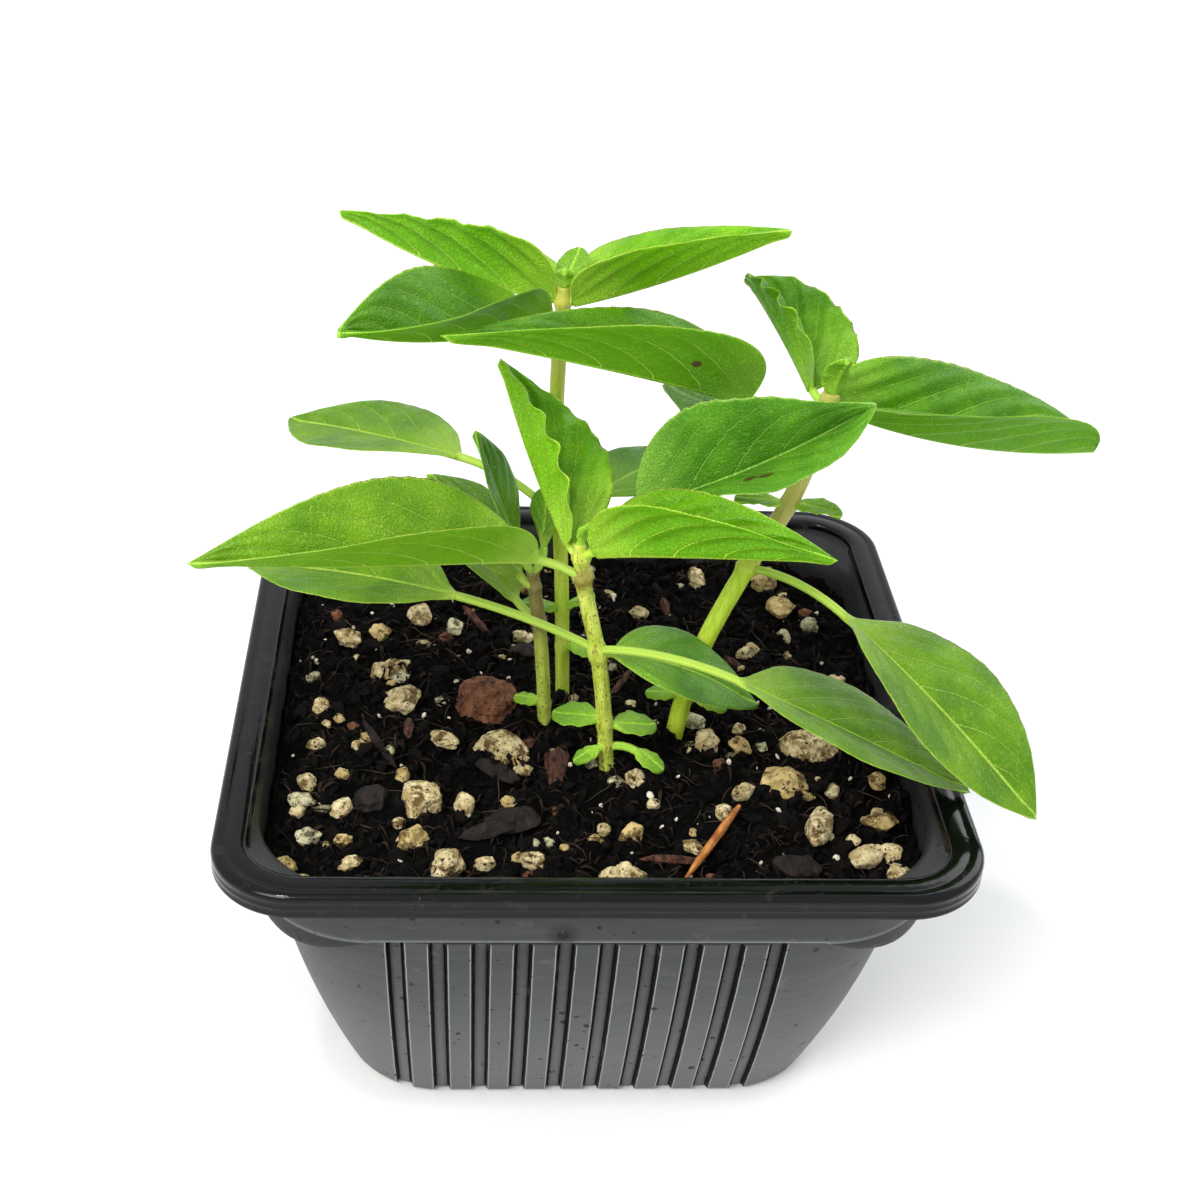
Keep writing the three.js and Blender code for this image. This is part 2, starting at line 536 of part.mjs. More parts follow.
// A lump that is round in no direction: an icosahedron whose corners are drawn in and out by a rule
// that only their direction and the seed decide, grown all over by extra.
function lump(size, seed, detail, extra) {
  const geometry = new THREE.IcosahedronGeometry(1, detail);
  const position = geometry.attributes.position;
  const point = new THREE.Vector3();
  for (let k = 0; k < position.count; k += 1) {
    point.fromBufferAttribute(position, k);
    const ridge = Math.sin(5.1 * point.x + seed) * Math.cos(4.3 * point.y - seed);
    const rough = ridge + Math.sin(6.7 * point.z + 2 * seed);
    const radius = 1 + 0.11 * rough;
    const [x, y, z] = size.map((s) => (s / 2) * radius);
    position.setXYZ(k, point.x * (x + extra), point.y * (y + extra), point.z * (z + extra));
  }
  return geometry;
}

const SUNK = 0.12; // share of a stone's height by which its middle lies under the soil

function stoneGeometry(stone, seed, extra) {
  const geometry = lump(stone.size, seed, 1, extra);
  geometry.rotateZ(stone.turn * DEGREE);
  const [x, y] = stone.at;
  geometry.translate(x, y, soilHeight(x, y) - SUNK * stone.size[2] + 0.2);
  return geometry;
}

// A splinter of wood that lies on the soil with one end in it.
const sliver = { from: [20.2, -25.6, 46], to: [11.3, -40.6, 45.6], width: 1.3 };

function sliverSolid(extra) {
  const ends = [sliver.from, sliver.to].map((p) => new THREE.Vector3(...p));
  const middle = ends[0].clone().lerp(ends[1], 0.5);
  return rod([ends[0], middle, ends[1]], sliver.width / 2 + extra, 5, 4);
}

function makeSoil() {
  const rings = insideRings(CLEARANCE);
  const edge = squareRing(COLLAR_HALF - WALL - CLEARANCE, COLLAR_CORNER - WALL - CLEARANCE, 0);
  for (const share of [1, 0.88, 0.74, 0.6, 0.45, 0.3, 0.15]) {
    rings.push(
      edge.map((p) => {
        const [x, y] = [p.x * share, p.y * share];
        return new THREE.Vector3(x, y, soilHeight(x, y));
      })
    );
  }
  let soil = solidOf(skin(rings));
  grit.forEach(([x, y, size], k) => {
    const grain = lump([size * 1.1, size, size * 0.9], 0.7 * k + 2, 0, 0);
    grain.rotateZ(k);
    grain.translate(x, y, soilHeight(x, y));
    soil = soil.add(solidOf(grain));
  });
  stones.forEach((stone, k) => {
    soil = soil.subtract(solidOf(stoneGeometry(stone, k + 1, 1.6 * CLEARANCE)));
  });
  for (const name of Object.keys(stems)) soil = soil.subtract(stemSolid(name, CLEARANCE));
  return largest(soil.subtract(sliverSolid(CLEARANCE)));
}

// ---- the plant in its pot ----

const basil = new THREE.Group();

function place(name, solid, material) {
  const mesh = new THREE.Mesh(geometryOf(solid), material);
  mesh.name = name;
  basil.add(mesh);
}

leaves.forEach((leaf, k) => {
  leaves[k] = { ...plain, ...leaf };
});
place("pot", makePot(), materials.plastic);
place("soil", makeSoil(), materials.peat);
for (const name of Object.keys(stems)) {
  let solid = stemSolid(name, 0);
  for (const sprout of sprouts.filter((one) => one.stem === name)) {
    solid = solid.add(leafSolid({ ...tiny, ...sprout }, 3, [-1, 0, 1]));
  }
  place(`stem_${name}`, solid, materials.stem);
}
for (const leaf of leaves) {
  const whole = leafSolid(leaf, 9, [-1, -0.5, 0, 0.5, 1]);
  const seated = largest(whole.subtract(stemSolid(leaf.stem, CLEARANCE)));
  place(`leaf_${leaf.name}`, seated, materials[leaf.tone]);
}
stones.forEach((stone, k) => {
  place(stone.name, solidOf(stoneGeometry(stone, k + 1, 0)), materials[stone.tone]);
});
place("wood_sliver", sliverSolid(0), materials.wood);

export default basil;
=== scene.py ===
# %% [markdown]
# # A young potted basil
# Four basil seedlings stand in a shallow square nursery pot of thin black plastic, in dark peat
# strewn with pumice. The solid model of the plant is the frame: nearly every piece made here takes
# the place of one of its solids, and keeps that solid's size and place. Only what is too small and
# too plentiful for solids, such as crumbs and grit, is new. Shapes are worked out in millimetres as
# numpy arrays, with the pot's foot on z = 0, its middle at the origin and its front towards -Y, and
# handed to Blender in metres.

# %% Load the frame
import itertools
import math

import bmesh
import bpy
import numpy as np
from mathutils import Matrix, Vector
from mathutils.geometry import delaunay_2d_cdt


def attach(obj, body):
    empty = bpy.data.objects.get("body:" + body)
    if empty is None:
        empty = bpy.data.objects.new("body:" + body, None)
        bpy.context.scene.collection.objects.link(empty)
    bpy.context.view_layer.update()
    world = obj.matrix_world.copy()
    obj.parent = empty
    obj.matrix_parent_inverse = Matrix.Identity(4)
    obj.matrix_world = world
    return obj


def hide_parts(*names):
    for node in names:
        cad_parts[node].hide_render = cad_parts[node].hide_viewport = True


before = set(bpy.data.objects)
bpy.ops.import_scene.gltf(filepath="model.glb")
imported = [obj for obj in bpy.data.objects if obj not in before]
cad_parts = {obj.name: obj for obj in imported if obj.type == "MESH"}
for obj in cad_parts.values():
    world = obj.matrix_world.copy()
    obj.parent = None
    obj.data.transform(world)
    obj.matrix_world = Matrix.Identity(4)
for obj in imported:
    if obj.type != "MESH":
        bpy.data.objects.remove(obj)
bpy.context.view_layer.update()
MM = 0.001
print("the frame holds", len(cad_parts), "solids")

# %% [markdown]
# ## The camera, the light and the floor
# The pot is seen from in front, a little from the left and from well above, through a lens a bit
# longer than normal, by a camera that leans a few degrees to one side. Its place was worked out
# from the corners of the pot's rim and foot. The light is that of a pale room: soft from all round,
# with a wide lamp in front on the left, a weaker one behind on the right, and a small one that
# draws crisp lights on what is glossy.

# %% Camera
FOCAL_PIXELS = 1878.3  # focal length, for a picture 1200 pixels wide
PICTURE = 1200
SENSOR = 36.0
EYE = np.array([-19.43, -231.6, 208.17])
TIP, YAW, ROLL = np.radians([31.862, 5.077, 3.575])


def camera_axes(tip, yaw, roll):
    """Right, up and ahead of a camera that is turned by yaw from +Y, tipped down by tip, and then
    rolled about its own axis: ahead is (sin yaw cos tip, cos yaw cos tip, -sin tip)."""
    ahead = np.array([math.sin(yaw) * math.cos(tip), math.cos(yaw) * math.cos(tip), -math.sin(tip)])
    level = np.array([math.cos(yaw), -math.sin(yaw), 0])
    above = np.cross(level, ahead)
    right = math.cos(roll) * level + math.sin(roll) * above
    return right, -math.sin(roll) * level + math.cos(roll) * above, ahead


right, above, ahead = camera_axes(TIP, YAW, ROLL)
lens = bpy.data.cameras.new("camera")
lens.sensor_width = SENSOR
lens.lens = FOCAL_PIXELS / PICTURE * SENSOR
lens.clip_start, lens.clip_end = 0.01, 20
camera = bpy.data.objects.new("camera", lens)
turned = Matrix(np.column_stack([right, above, -ahead]).tolist()).to_4x4()
camera.matrix_world = Matrix.Translation((EYE * MM).tolist()) @ turned
bpy.context.scene.collection.objects.link(camera)
bpy.context.scene.camera = camera
print("lens of", round(lens.lens, 1), "mm")

# %% Lamps and world
world = bpy.data.worlds.new("pale room")
bpy.context.scene.world = world
world.use_nodes = True
room = world.node_tree.nodes["Background"].inputs
room["Color"].default_value = (0.95, 0.97, 1.0, 1)
room["Strength"].default_value = 0.95
bpy.context.scene.view_settings.view_transform = "Standard"
PLANT_MIDDLE = Vector((0, 0, 0.06))


def lamp(name, place, size, power, tint=(1, 1, 1)):
    """A square lamp of a size and a power in watts, at a place in metres. It faces the plant."""
    light = bpy.data.lights.new(name, "AREA")
    light.size, light.energy, light.color = size, power, tint
    item = bpy.data.objects.new(name, light)
    item.location = place
    item.rotation_euler = (PLANT_MIDDLE - Vector(place)).to_track_quat("-Z", "Y").to_euler()
    bpy.context.scene.collection.objects.link(item)


lamp("window", (-0.38, -0.5, 0.66), 0.45, 5.6, (1, 0.98, 0.95))
lamp("far_window", (0.6, 0.5, 0.6), 0.6, 3.2)
lamp("glint", (-0.22, -0.25, 0.75), 0.05, 1.2)
print("three lamps")

# %% [markdown]
# ## Finishes
# A finish is a network of small nodes that ends in one shader. The same few kinds of node are
# wanted for each, so a short helper adds them and joins them up. Colours are written as they look
# on a screen, and turned into amounts of light.


# %% Finish helper
def colour(code):
    """The amounts of light of a six-digit screen colour: each share s becomes
    ((s + 0.055) / 1.055) to the power 2.4, or s / 12.92 where it is very dark."""
    share = np.array([int(code[k : k + 2], 16) for k in (0, 2, 4)]) / 255
    light = np.where(share > 0.04045, ((share + 0.055) / 1.055) ** 2.4, share / 12.92)
    return (*light.tolist(), 1.0)


class Finish:
    """A material whose nodes are added one call at a time. A value is a number, a colour or the
    output of another node."""

    def __init__(self, name, **constants):
        """An empty finish. constants are set on the shader, with _ for each space in a name."""
        self.material = bpy.data.materials.new(name)
        self.material.use_nodes = True
        self.tree = self.material.node_tree
        self.shader = self.tree.nodes["Principled BSDF"]
        self.object = self.node("ShaderNodeTexCoord").outputs["Object"]
        for key, value in constants.items():
            self.set(key.replace("_", " "), value)

    def put(self, socket, value):
        """Links a socket to another node's output, or gives it a number or a colour."""
        if isinstance(value, bpy.types.NodeSocket):
            self.tree.links.new(value, socket)
        else:
            socket.default_value = value

    def set(self, name, value):
        """Puts a value on the shader."""
        self.put(self.shader.inputs[name], value)

    def node(self, kind, inputs=(), **settings):
        """Adds a node, with its settings and the values of its inputs."""
        node = self.tree.nodes.new(kind)
        for key, value in settings.items():
            setattr(node, key, value)
        for key, value in dict(inputs).items():
            self.put(node.inputs[key], value)
        return node

    def math(self, operation, first, second=0.0):
        """One sum of two values."""
        return self.node("ShaderNodeMath", {0: first, 1: second}, operation=operation).outputs[0]

    def noise(self, size, detail=4.0, roughness=0.55, vector=None):
        """Noise with lumps of about size millimetres."""
        inputs = {"Scale": 1 / (size * MM), "Detail": detail, "Roughness": roughness}
        inputs["Vector"] = vector or self.object
        return self.node("ShaderNodeTexNoise", inputs).outputs[0]

    def cells(self, size, feature="F1", vector=None):
        """Distance in a pattern of random cells of about size millimetres."""
        inputs = {"Scale": 1 / (size * MM), "Vector": vector or self.object}
        return self.node("ShaderNodeTexVoronoi", inputs, feature=feature).outputs["Distance"]

    def fade(self, value, low, high, start=0.0, end=1.0):
        """Goes smoothly from start, where value is low, to end, where it is high."""
        inputs = {0: value, 1: low, 2: high, 3: start, 4: end}
        return self.node("ShaderNodeMapRange", inputs, interpolation_type="SMOOTHSTEP").outputs[0]

    def mix(self, share, first, second):
        """Goes from the first colour, at share 0, to the second, at share 1."""
        node = self.node("ShaderNodeMix", data_type="RGBA")
        for index, value in ((0, share), (6, first), (7, second)):
            self.put(node.inputs[index], value)
        return node.outputs[2]

    def bump(self, height, depth, below=None):
        """Tilts the surface as if height, from 0 to 1, were depth millimetres."""
        inputs = {"Height": height, "Distance": depth * MM, "Strength": 1.0}
        if below is not None:
            inputs["Normal"] = below
        return self.node("ShaderNodeBump", inputs).outputs[0]

    def stretched(self, x, y, z):
        """Object coordinates scaled by x, y and z, so a pattern is drawn out where that is small."""
        node = self.node("ShaderNodeMapping", {"Vector": self.object})
        node.inputs["Scale"].default_value = (x, y, z)
        return node.outputs[0]

    def parts(self, vector):
        """A vector's x, y and z."""
        return self.node("ShaderNodeSeparateXYZ", {0: vector}).outputs

    def flat_map(self, label):
        """The numbers of one of the shape's two flat maps, as x and y."""
        return self.parts(self.node("ShaderNodeUVMap", uv_map=label).outputs[0])

    def zones(self):
        """The shape's three zone values."""
        values = self.node("ShaderNodeAttribute", attribute_name="zones").outputs["Color"]
        return self.node("ShaderNodeSeparateColor", {0: values}).outputs

    def times(self, value, *amounts):
        """The product of a value and some amounts."""
        for amount in amounts:
            value = self.math("MULTIPLY", value, amount)
        return value

    def less(self, value, amount):
        """A value less an amount."""
        return self.math("SUBTRACT", value, amount)


print("finish helper ready")

# %% Floor
floor_finish = Finish("pale_floor", Roughness=0.7)
mottle = floor_finish.fade(floor_finish.noise(60, 3), 0.3, 0.7)
floor_finish.set("Base Color", floor_finish.mix(mottle, colour("f1f1ef"), colour("f5f5f4")))
FLOOR_HALF = 4.0
floor_mesh = bpy.data.meshes.new("floor")
corners = [(-1, -1), (1, -1), (1, 1), (-1, 1)]
floor_mesh.from_pydata([(x * FLOOR_HALF, y * FLOOR_HALF, 0) for x, y in corners], [], [(0, 1, 2, 3)])
floor_mesh.materials.append(floor_finish.material)
floor = bpy.data.objects.new("floor", floor_mesh)
bpy.context.scene.collection.objects.link(floor)
print("floor", 2 * FLOOR_HALF, "m wide")

# %% [markdown]
# ## Shapes from arrays
# Every piece is a set of points with triangles between them. A surface is a grid of points, so its
# triangles follow from the grid's size alone. A closed shape whose triangles point inwards has a
# negative volume, which is how it is found and turned.


# %% Shape helpers
class Shape:
    """Points in millimetres, the triangles between them, which finish each triangle takes, and at
    each point two flat maps of two numbers each, and three zone values, for the finishes to read."""

    def __init__(self, points, faces, finish=0, maps=None, zones=None):
        """finish is one number for all triangles. Maps and zones are 0 where none are given."""
        self.points = np.asarray(points, float).reshape(-1, 3)
        self.faces = np.asarray(faces, int).reshape(-1, 3)
        self.finish = np.full(len(self.faces), finish)
        self.maps = np.zeros((len(self.points), 4)) if maps is None else maps
        self.zones = np.zeros((len(self.points), 3)) if zones is None else zones

    def outward(self):
        """Turns the triangles round if the sum of a . (b x c) / 6 over them is negative."""
        a, b, c = (self.points[self.faces[:, k]] for k in range(3))
        if np.einsum("ij,ij->", a, np.cross(b, c)) < 0:
            self.faces = self.faces[:, ::-1]
        return self


def join(shapes):
    """One shape of several, each one's triangles counted on from the points before it."""
    starts = np.cumsum([0] + [len(shape.points) for shape in shapes])
    whole = Shape(
        np.concatenate([shape.points for shape in shapes]),
        np.concatenate([shape.faces + start for shape, start in zip(shapes, starts)]),
        maps=np.concatenate([shape.maps for shape in shapes]),
        zones=np.concatenate([shape.zones for shape in shapes]),
    )
    whole.finish = np.concatenate([shape.finish for shape in shapes])
    return whole


def grid_faces(rows, columns, closed=False, first=0):
    """Two triangles for each square of a grid; closed joins its last column to its first."""
    index = first + np.arange(rows * columns).reshape(rows, columns)
    if closed:
        index = np.column_stack([index, index[:, 0]])
    a, b, c, d = index[:-1, :-1], index[:-1, 1:], index[1:, 1:], index[1:, :-1]
    halves = [np.stack([a, b, c], -1), np.stack([a, c, d], -1)]
    return np.concatenate([half.reshape(-1, 3) for half in halves])


def closed_skin(rings, finish=0, maps=None, zones=None):
    """A skin over rings of points, rows x columns x 3, with a fan over each open end."""
    rows, columns = rings.shape[:2]
    points = np.concatenate([rings.reshape(-1, 3), rings[[0, -1]].mean(1)])
    middle = rows * columns
    ring = np.arange(columns)
    after = np.roll(ring, -1)
    fans = [
        np.stack([after, ring, np.full(columns, middle)], -1),
        np.stack([ring + middle - columns, after + middle - columns, np.full(columns, middle + 1)], -1),
    ]
    faces = np.concatenate([grid_faces(rows, columns, True), *fans])
    extra = []
    for values in (maps, zones):
        if values is not None:
            values = np.concatenate([values.reshape(middle, -1), values[[0, -1]].mean(1)])
        extra.append(values)
    return Shape(points, faces, finish, *extra).outward()


def make_piece(name, shape, finishes, node=None, sharp=None):
    """Makes an object of a shape. It rides on the frame's one body, and stands for a solid if node
    names one. sharp is the angle in degrees over which an edge stays sharp."""
    mesh = bpy.data.meshes.new(name)
    mesh.from_pydata(shape.points * MM, [], shape.faces)
    mesh.polygons.foreach_set("material_index", shape.finish.astype(np.int32))
    corner = np.zeros(len(mesh.loops), np.int32)
    mesh.loops.foreach_get("vertex_index", corner)
    for k, label in enumerate(("veins", "blade")):
        flat = mesh.uv_layers.new(name=label)
        flat.uv.foreach_set("vector", shape.maps[corner, 2 * k : 2 * k + 2].ravel())
    zones = mesh.attributes.new("zones", "FLOAT_COLOR", "POINT")
    zones.data.foreach_set("color", np.column_stack([shape.zones, np.ones(len(shape.points))]).ravel())
    mesh.shade_smooth()
    if sharp is not None:
        mesh.set_sharp_from_angle(angle=math.radians(sharp))
    for finish in finishes:
        mesh.materials.append(finish.material)
    piece = bpy.data.objects.new(name, mesh)
    bpy.context.scene.collection.objects.link(piece)
    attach(piece, "root")
    if node:
        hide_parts(node)
    print(name, len(shape.faces), "triangles")


def smooth(x, low=0.0, high=1.0):
    """3s^2 - 2s^3 of the share s of the way from low to high."""
    share = np.clip((x - low) / (high - low), 0, 1)
    return share * share * (3 - 2 * share)


def lattice_noise(points, size, seed):
    """Smooth noise of about -1 to 1: random numbers at the corners of cells of a given size,
    blended along each axis by a smoothstep."""
    table = np.random.default_rng(seed).uniform(-1, 1, (32, 32, 32))
    place = np.asarray(points) / size
    cell = np.floor(place).astype(int)
    share = smooth(place - cell)
    total = np.zeros(place.shape[:-1])
    for step in itertools.product((0, 1), repeat=3):
        weight = np.prod(np.where(step, share, 1 - share), -1)
        total += weight * table[tuple(np.moveaxis((cell + step) % 32, -1, 0))]
    return total


print("shape helpers ready")

# %% [markdown]
# ## The pot
# It is pressed from one thin sheet: a rolled rim, a plain collar that hangs lower at the corners
# as half-moon shoulders, and a tapering wall with ten flutes on each side. All of it is one skin:
# every row is a square with round corners, and a column keeps its place in a flute or on a corner
# from row to row. That keeps the flutes crisp, which a cut or a displacement wouldn't.

# %% Pot dimensions
POT_HEIGHT = 51.0
RIM_HALF, RIM_CORNER, RIM_FOOT, RIM_ROUND = 50.9, 11.5, 47.85, 0.85
RIDGE, RIDGE_STEP = 0.06, 1.1  # fine level ridges on the rim's outer face
COLLAR_LEVEL = 39.7  # where the plain collar ends
COLLAR_HALF, COLLAR_CORNER, COLLAR_DIP = 46.8, 17.0, 3.0
BASE_HALF, TOP_HALF, BELLY = 35.0, 46.5, 0.42
BASE_CORNER, TOP_CORNER = 14.0, 26.0
WALL, POT_FLOOR = 1.5, 1.4
FLUTES, FLUTE_PITCH = 10, 5.65
SHIFT = -1.7  # the flutes sit to the left of each side's middle
CLOSING = 0.04  # how much closer they are at the foot
FLUTE_DEPTH, CHANNEL_DEPTH, BEAD_HEIGHT = 0.75, 0.25, 0.06
CHANNEL_AT, BEAD_AT = 0.92, 1.38  # from a flute's middle
DRAIN_RADIUS, DRAIN_RING, DRAINS, DRAIN_SIDES = 3.0, 24.0, 6, 24
DIMPLE = (-5.1, -47.1, 41.1)  # a small dimple in the front of the collar, drawn only as painted shade
CORNER_COLUMNS = 56
left_half = np.array([-2.8, -2.1, -1.55, -1.36, -1.24, -1.12, -1.0, -0.88, -0.68, 0.0])
FLUTE_COLUMNS = np.concatenate([left_half[:-1], -left_half[:0:-1]])
print(len(FLUTE_COLUMNS), "columns to a flute")


def wall_half(z):
    """Half the wall's width: base + (top - base)(t + belly t(1 - t)) at share t of its height."""
    t = np.minimum(1, z / COLLAR_LEVEL)
    return BASE_HALF + (TOP_HALF - BASE_HALF) * (t + BELLY * t * (1 - t))


def wall_corner(z):
    """The wall's corner radius, which grows evenly from foot to collar."""
    return BASE_CORNER + (TOP_CORNER - BASE_CORNER) * np.minimum(1, z / COLLAR_LEVEL)


# %% Pot rows
# Each row: half width, corner radius, height, dip at the corners, and the share of the flutes'
# full depth.
def wall_rows():
    """From the foot to the collar. The flutes start at the foot's round edge and run out smoothly
    just under the collar."""
    top = COLLAR_LEVEL
    foot = [
        (wall_half(0) - 1.0, BASE_CORNER - 1, 0.0, 0, 0.0),
        (wall_half(0) - 0.45, BASE_CORNER, 0.12, 0, 0.5),
        (wall_half(0.4) - 0.12, BASE_CORNER, 0.45, 0, 0.9),
    ]
    heights = [0.9, 1.6, *np.linspace(3, top - 1.9, 30), top - 1.4, top - 1, top - 0.7, top - 0.4, top]
    closing = 1 - smooth(np.array(heights), top - 1.5, top - 0.2)
    return foot + [(wall_half(z), wall_corner(z), z, 0, c) for z, c in zip(heights, closing)]


def crown_rows():
    """The collar's lower edge, the collar, the step out to the rim, the rim's ridged face, its
    round top, and the lip with a fine groove that turns down inside."""
    half, corner, dip = COLLAR_HALF, COLLAR_CORNER, COLLAR_DIP
    edge = ((-0.85, -0.8, 0.12), (-0.5, -0.5, -0.08), (-0.15, -0.15, 0.0), (0.0, 0.0, 0.3))
    rows = [(half + a, corner + b, COLLAR_LEVEL + c, dip, 0) for a, b, c in edge]
    for share in np.linspace(0, 1, 12)[1:]:
        rows.append((half + 0.35 * share, corner, COLLAR_LEVEL + 0.3 + 7.1 * share, dip * (1 - share), 0))
    rest = [(half + 0.55, corner, 47.32), (half + 0.9, corner - 0.3, 47.4)]
    rest += [(50.5, RIM_CORNER, 47.4), (50.86, RIM_CORNER, 47.52)]
    for z in np.linspace(RIM_FOOT, 50.1, 16):
        ridge = RIDGE * max(0.0, math.cos((z - RIM_FOOT) / RIDGE_STEP * 2 * math.pi))
        rest.append((RIM_HALF + ridge, RIM_CORNER, z))
    for angle in np.radians([20, 45, 70, 90]):
        out, up = RIM_ROUND * math.cos(angle), RIM_ROUND * math.sin(angle)
        rest.append((50.1 + out, RIM_CORNER, POT_HEIGHT - RIM_ROUND + up))
    rest += [(49.6, 11.2, 50.98), (49.3, 11.0, 50.86), (49.0, 10.6, 50.98)]
    rest += [(47.4, 9, POT_HEIGHT), (46.7, 8, 50.9), (46.4, 7.5, 50.55), (46.4, 7.5, 49.9)]
    return rows + [(*row, 0, 0) for row in rest]


def inside_rows():
    """The inside, from under the lip down to the floor, one wall's thickness in from the outside."""
    half, corner = COLLAR_HALF - WALL, COLLAR_CORNER - WALL
    upper = [(half + 0.9, corner - 5, 49.2), (half + 0.5, corner - 1.5, 48.4), (half + 0.3, corner, 47.6)]
    upper += [(half + 0.1, corner, 44.5), (half, corner, 41.4)]
    lower = [(wall_half(z) - WALL, wall_corner(z) - WALL, z) for z in (41.2, 36, 28, 20, 12, 6, POT_FLOOR)]
    return [(*row, 0, 0) for row in upper + lower]


rows = np.array(wall_rows() + crown_rows() + inside_rows())
COLLAR_ROW = len(wall_rows())
OUTER_ROWS = COLLAR_ROW + len(crown_rows())
# Rim rows get 1, the outside wall 0 and the inside 0.4. Besides gloss, this paints the rim near black as a
# painted dark reflection, and the inside darker as painted shade.
GLOSS_AND_PAINTED_DARK = np.where(np.arange(len(rows)) < OUTER_ROWS, smooth(rows[:, 2], 46.4, 47.4), 0.4)
# EDGE: 1 is a painted highlight on the collar's lower edge, -1 a painted shadow line below it.
EDGE = np.zeros(len(rows))  # 1 on the collar's lower edge, -1 in the shadow line below it
EDGE[COLLAR_ROW - 3 : COLLAR_ROW + 4] = (-0.5, -1, -1, -1, -1, 1, 0.25)
print(len(rows), "rows from the foot over the rim to the inside floor")


# %% Pot columns
def flute_shape(offset):
    """Depth of a flute at an offset from its middle, in millimetres: a flat floor, with a narrow
    channel deeper along each flank, and ribs whose edges stand up a little. Channel and bead are
    both of the form height times exp(-((|offset| - place) / width)^2)."""
    away = np.abs(offset)
    floor_part = FLUTE_DEPTH * (1 - smooth(away, 0.95, 1.22))
    channel = CHANNEL_DEPTH * np.exp(-(((away - CHANNEL_AT) / 0.12) ** 2))
    bead = BEAD_HEIGHT * np.exp(-(((away - BEAD_AT) / 0.18) ** 2))
    return floor_part + channel - bead


def pot_grid(rows):
    """Points of all rows by all columns. Along a side y is reach(x) = flat + sqrt(corner^2 -
    (|x| - flat)^2), less the flute. From a side's last flute to the next side's first one, the
    columns share out the length of straight, arc and straight evenly."""
    half, corner, z, dip, fluted = (rows[:, k : k + 1] for k in range(5))
    flat = half - corner
    pitch = FLUTE_PITCH * (1 - CLOSING * (1 - np.minimum(1, z / COLLAR_LEVEL)))
    middles = np.repeat(np.arange(FLUTES) - (FLUTES - 1) / 2, len(FLUTE_COLUMNS))
    offsets = np.tile(FLUTE_COLUMNS, FLUTES)
    x = SHIFT + pitch * middles + offsets * pitch / FLUTE_PITCH
    past = np.clip(np.abs(x) - flat, 0, corner)
    y = flat + np.sqrt(corner**2 - past**2) - fluted * flute_shape(offsets)
    last, first = SHIFT + FLUTES / 2 * pitch, -SHIFT + FLUTES / 2 * pitch
    start = np.arcsin(np.clip((last - flat) / corner, 0, 1))
    end = np.pi / 2 - np.arcsin(np.clip((first - flat) / corner, 0, 1))
    lengths = [np.maximum(0, flat - last), corner * (end - start), np.maximum(0, flat - first)]
    along = np.linspace(0, 1, CORNER_COLUMNS, endpoint=False)[None, :] * sum(lengths)
    angle = np.clip(start + (along - lengths[0]) / corner, start, end)
    before = np.maximum(0, lengths[0] - along)
    after = np.maximum(0, along - lengths[0] - lengths[1])
    x = np.hstack([x, flat + corner * np.sin(angle) - before])
    y = np.hstack([y, flat + corner * np.cos(angle) - after])
    turned = np.hstack([np.zeros((len(rows), len(offsets))), np.sin(2 * angle)])
    height = z - dip * turned
    sides = []
    for side in range(4):
        c, s = round(math.cos(side * math.pi / 2)), round(math.sin(side * math.pi / 2))
        sides.append(np.stack([c * x + s * y, s * x - c * y, height], -1))
    return np.concatenate(sides, 1)


def flute_places():
    """For each column, whether it belongs to a flute, and its place counted in flutes: a flute's
    middle is a whole number. The outermost columns of a side count as plain."""
    place = np.repeat(np.arange(FLUTES), len(FLUTE_COLUMNS)) + np.tile(FLUTE_COLUMNS, FLUTES) / FLUTE_PITCH
    ribbed = np.ones(len(place))
    ribbed[[0, -1]] = 0
    plain = np.zeros(CORNER_COLUMNS)
    places = np.concatenate([place, plain + FLUTES - 0.5])
    return np.tile(np.concatenate([ribbed, plain]), 4), np.tile(places, 4)


def drilled_disc(ring, level, first):
    """Triangles over a ring of points at one level, without the drains' circles. The circles'
    points are counted from first."""
    angles = np.arange(DRAINS) * 2 * np.pi / DRAINS
    centres = DRAIN_RING * np.column_stack([np.cos(angles), np.sin(angles)])
    around = np.arange(DRAIN_SIDES) * 2 * np.pi / DRAIN_SIDES
    circle = DRAIN_RADIUS * np.column_stack([np.cos(around), np.sin(around)])
    circles = (centres[:, None] + circle[None]).reshape(-1, 2)
    flat = np.concatenate([ring[:, :2], circles])
    count = len(ring)
    loops = [np.arange(count)] + [count + k * DRAIN_SIDES + np.arange(DRAIN_SIDES) for k in range(DRAINS)]
    edges = np.concatenate([np.column_stack([loop, np.roll(loop, -1)]) for loop in loops])
    found = delaunay_2d_cdt([Vector(p) for p in flat.tolist()], edges.tolist(), [], 1, 1e-6)
    faces = np.array(found[2])
    middle = flat[faces].mean(1)
    inside = np.linalg.norm(middle[:, None] - centres[None], axis=-1).min(1) < DRAIN_RADIUS * 0.98
    faces = np.where(faces < count, faces, faces + first - count)[~inside]
    return faces, np.column_stack([circles, np.full(len(circles), level)])


